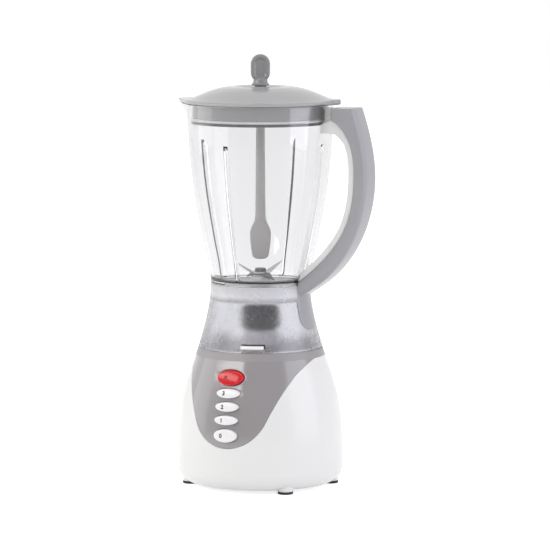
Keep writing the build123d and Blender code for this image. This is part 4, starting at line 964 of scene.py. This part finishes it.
# ---- Blade unit, motor, deck, feet and screws
# What is hidden, small or plain keeps the frame's own shape and takes the finish of its stuff. Only
# the coupling gets a new piece, the nylon splash skirt pressed on above it under the blades.
def brushed(name, colour, roughness, line, depth):
    """A rolled or ground metal: fine lines that many millimetres apart run round the shaft, and are
    darker and rougher where they are deep."""
    material, tree, shader, place = bare_material(name)
    shader.inputs["Metallic"].default_value = 1.0
    stretch = add_node(tree, "ShaderNodeMapping", {"Vector": place, "Scale": (0.15, 0.15, 1.0)})
    pattern = {"Vector": stretch.outputs["Vector"], "Scale": 1000 / line, "Detail": 4.0}
    lines = add_node(tree, "ShaderNodeTexNoise", pattern)
    bright = linear(colour)
    tinted(tree, shader, lines.outputs["Fac"], bright, (*(0.86 * c for c in bright[:3]), 1.0))
    grained(tree, shader, lines, roughness * 0.8, roughness * 1.25, depth)
    return material


def dress(names, material):
    """Kept nodes, named in one line of words, take a material in place of the frame's own."""
    for name in names.split():
        mesh = nodes[name].data
        mesh.materials.clear()
        mesh.materials.append(material)


# stainless steel, ground: fine bright lines on the upper blades, which face the light
dress("upper_blade blade_washer", brushed("stainless_steel_ground", "#c3c2c0", 0.22, 0.5, 0.004))
# the same steel painted darker, a painted shade for the dark it reflects: the lower blades and the
# nut look dark grey
shaded_steel = brushed("stainless_steel_painted_shade", "#6c6b6a", 0.3, 0.5, 0.004)
dress("lower_blade blade_nut blade_shaft", shaded_steel)
# turned steel: bright, with fine rings
bright_steel = brushed("steel_turned_bright", "#b9b9ba", 0.25, 0.6, 0.004)
dress("motor_shaft handle_screw cover_screws switch_screws motor_bolts", bright_steel)
# stacked steel sheet: dull grey, with a coarse line for each sheet
dress("stator_core armature_core", brushed("steel_laminated_core", "#77797b", 0.45, 0.8, 0.02))
# zinc plate: a pale, slightly blue, soft shine
plated_steel = brushed("steel_zinc_plated", "#c9cbcd", 0.35, 0.7, 0.006)
dress("upper_bracket lower_bracket pulse_spring", plated_steel)
dress("spring_0 spring_1 spring_2 spring_3", plated_steel)
# enamelled copper wire: reddish brown, ribbed turn by turn
copper = brushed("copper_enamelled_wire", "#b56a3c", 0.3, 0.7, 0.03)
dress("field_coils armature_windings commutator", copper)
# sintered bronze: dull and slightly porous
bronze = brushed("bronze_sintered", "#a8824c", 0.45, 0.5, 0.01)
dress("bearings motor_bushes shaft_bush", bronze)
# drawn brass: yellow, with lines along the strip
dress("switch_terminals", brushed("brass_drawn", "#c9a55a", 0.3, 0.6, 0.006))
# nylon, glass filled and natural: matt black in the couplings and fan, satin cream in the switch
black_nylon = moulded("nylon_moulded_black", "#0f0e10", "#151416", 0.45, 0.8, 0.01)
dress("cord_inlet drive_coupling driven_coupling brush_holders cooling_fan", black_nylon)
dress("switch_block", moulded("nylon_moulded_natural", "#e6e3d8", "#dedbd0", 0.4, 0.8, 0.01))
# acetal: a cool white with a satin, slippery look
pale_acetal = moulded("acetal_moulded_pale_grey", "#f6f6f8", "#f1f1f3", 0.35, 0.8, 0.008, 0.03)
dress("blade_carrier", pale_acetal)
# black rubber: matt, with a fine grain; pale silicone: soft and dull
dress("rubber_feet", moulded("rubber_moulded_black", "#222223", "#29292a", 0.65, 0.5, 0.02))
gasket_rubber = moulded("silicone_moulded_gasket", "#d4d3d8", "#cecdd2", 0.45, 0.7, 0.01)
dress("spill_seal jug_gasket", gasket_rubber)
# pressed carbon: dull and sooty
dress("carbon_brushes", moulded("carbon_pressed", "#2b2b2c", "#353536", 0.55, 0.4, 0.01))
# ABS deck: a satin grey band; the tower above it inside the collar is painted paler, as painted
# light seen through the frosted collar
deck_abs = moulded("abs_moulded_deck_grey", "#a19d9f", "#9d999b", 0.34, 1.0, 0.006, 0.03)
# painted light: the deck's colour turns pale above 131.2 mm
painted_light_above(deck_abs, 0.1312, "#efebee")
dress("top_deck", deck_abs)
dress("bottom_cover", white_abs)
skirt_line = rounded(
    [(14.3, 163.2, 0), (17.4, 163.2, 0.3), (17.2, 167, 4), (13, 171.6, 4), (10.5, 172, 0.4)]
    + [(10.5, 170.4, 0), (14.3, 167, 2), (14.3, 163.2, 0)]
)
splash_skirt = make_piece("coupling_skirt", "blades", black_nylon, turned(skirt_line, 72))

# ---- Studio
# A matt pale floor runs on under everything. Four soft boxes give the highlights on the base,
# handle and lid, and a plain pale room, dim on the near side, gives the rest of the light.
floor_reach = 6
floor_mesh = bpy.data.meshes.new("floor")
corners = [(x * floor_reach, y * floor_reach, 0) for x, y in ((-1, -1), (1, -1), (1, 1), (-1, 1))]
floor_mesh.from_pydata(corners, [], [(0, 1, 2, 3)])
floor = linked("floor", floor_mesh)
# matt paint: no shine, and a glow of its own that keeps it white behind the object
floor_paint = bpy.data.materials.new("floor_matt_white")
floor_paint.use_nodes = True
tree = floor_paint.node_tree
paint = tree.nodes["Principled BSDF"]
paint.inputs["Base Color"].default_value = linear("#f4f4f4")
paint.inputs["Roughness"].default_value = 0.9
paint.inputs["Specular IOR Level"].default_value = 0.1
paint.inputs["Emission Color"].default_value = (1, 1, 1, 1)
rays = add_node(tree, "ShaderNodeLightPath")
glow = 0.5
glows = {"Transmission Depth": 0.22, "Is Diffuse Ray": 0.0, "Is Camera Ray": 0.7}
for ray, strength in glows.items():
    mix = {"Factor": rays.outputs[ray], "A": glow, "B": strength}
    glow = add_node(tree, "ShaderNodeMix", mix, data_type="FLOAT").outputs["Result"]
tree.links.new(glow, paint.inputs["Emission Strength"])
floor_mesh.materials.append(floor_paint)


def soft_box(name, turn, rise, away, width, tall, power, colour):
    """A soft box, metres away from the object's middle, at a turn about Z and a rise above it."""
    lamp = bpy.data.lights.new(name, "AREA")
    lamp.shape, lamp.size, lamp.size_y = "RECTANGLE", width, tall
    lamp.energy, lamp.color = power, linear(colour)[:3]
    box = linked(name, lamp)
    middle = Vector((0, 0, 0.2))
    turn, rise = radians(turn), radians(rise)
    box.location = middle + away * Vector((cos(turn) * cos(rise), sin(turn) * cos(rise), sin(rise)))
    box.rotation_euler = (middle - box.location).to_track_quat("-Z", "Y").to_euler()


soft_box("soft_box_left", -123, 26, 1.6, 1.45, 0.34, 6.5, "#fffdfb")
soft_box("soft_box_right", 2, 14, 1.6, 1.2, 1.2, 7.5, "#f0f0ff")
soft_box("soft_box_side", -165, 12, 1.6, 1.0, 1.0, 2.2, "#ffffff")
soft_box("soft_box_above", -80, 78, 1.5, 1.0, 1.0, 3.0, "#ffffff")

world = bpy.data.worlds.new("pale_room")
bpy.context.scene.world = world
world.use_nodes = True
tree = world.node_tree
sky = tree.nodes["Background"]
sky.inputs["Color"].default_value = (1, 1, 1, 1)
rays = add_node(tree, "ShaderNodeLightPath")
way = add_node(tree, "ShaderNodeTexCoord").outputs["Generated"]
near_side = {0: way, 1: (0.41, -0.91, 0.0)}
front = add_node(tree, "ShaderNodeVectorMath", near_side, operation="DOT_PRODUCT").outputs["Value"]
# for each kind of ray the room fades from its sides and back to its dim near side; what stands
# inside the clear jug is lit evenly
room = 0.6
for ray, most, least, inside in [
    ("Is Glossy Ray", 1.0, 0.4, None),
    ("Transmission Depth", 0.85, 0.32, 0.8),
    ("Is Camera Ray", 1.0, 1.0, None),
]:
    fall = {"Value": front, "From Min": -0.1, "From Max": 0.75, "To Min": most, "To Max": least}
    fade = add_node(tree, "ShaderNodeMapRange", fall).outputs["Result"]
    if inside:
        mix = {"Factor": rays.outputs["Diffuse Depth"], "A": fade, "B": inside}
        fade = add_node(tree, "ShaderNodeMix", mix, data_type="FLOAT").outputs["Result"]
    mix = {"Factor": rays.outputs[ray], "A": room, "B": fade}
    room = add_node(tree, "ShaderNodeMix", mix, data_type="FLOAT").outputs["Result"]
tree.links.new(room, sky.inputs["Strength"])

# ---- Camera
# A long lens looks slightly down on the blender from about a quarter of the way round from the
# buttons to the handle, and so sees both.
camera = bpy.data.cameras.new("camera")
camera.sensor_width, camera.lens = 36.0, 231.9
eye = linked("camera", camera)
eye.location = (1.3756, -2.9996, 0.565)
aim = Vector((0.0124, 0.0056, 0.197))
eye.rotation_euler = (aim - eye.location).to_track_quat("-Z", "Y").to_euler()
bpy.context.scene.camera = eye
bpy.context.scene.view_settings.view_transform = "Standard"

bpy.context.view_layer.update()
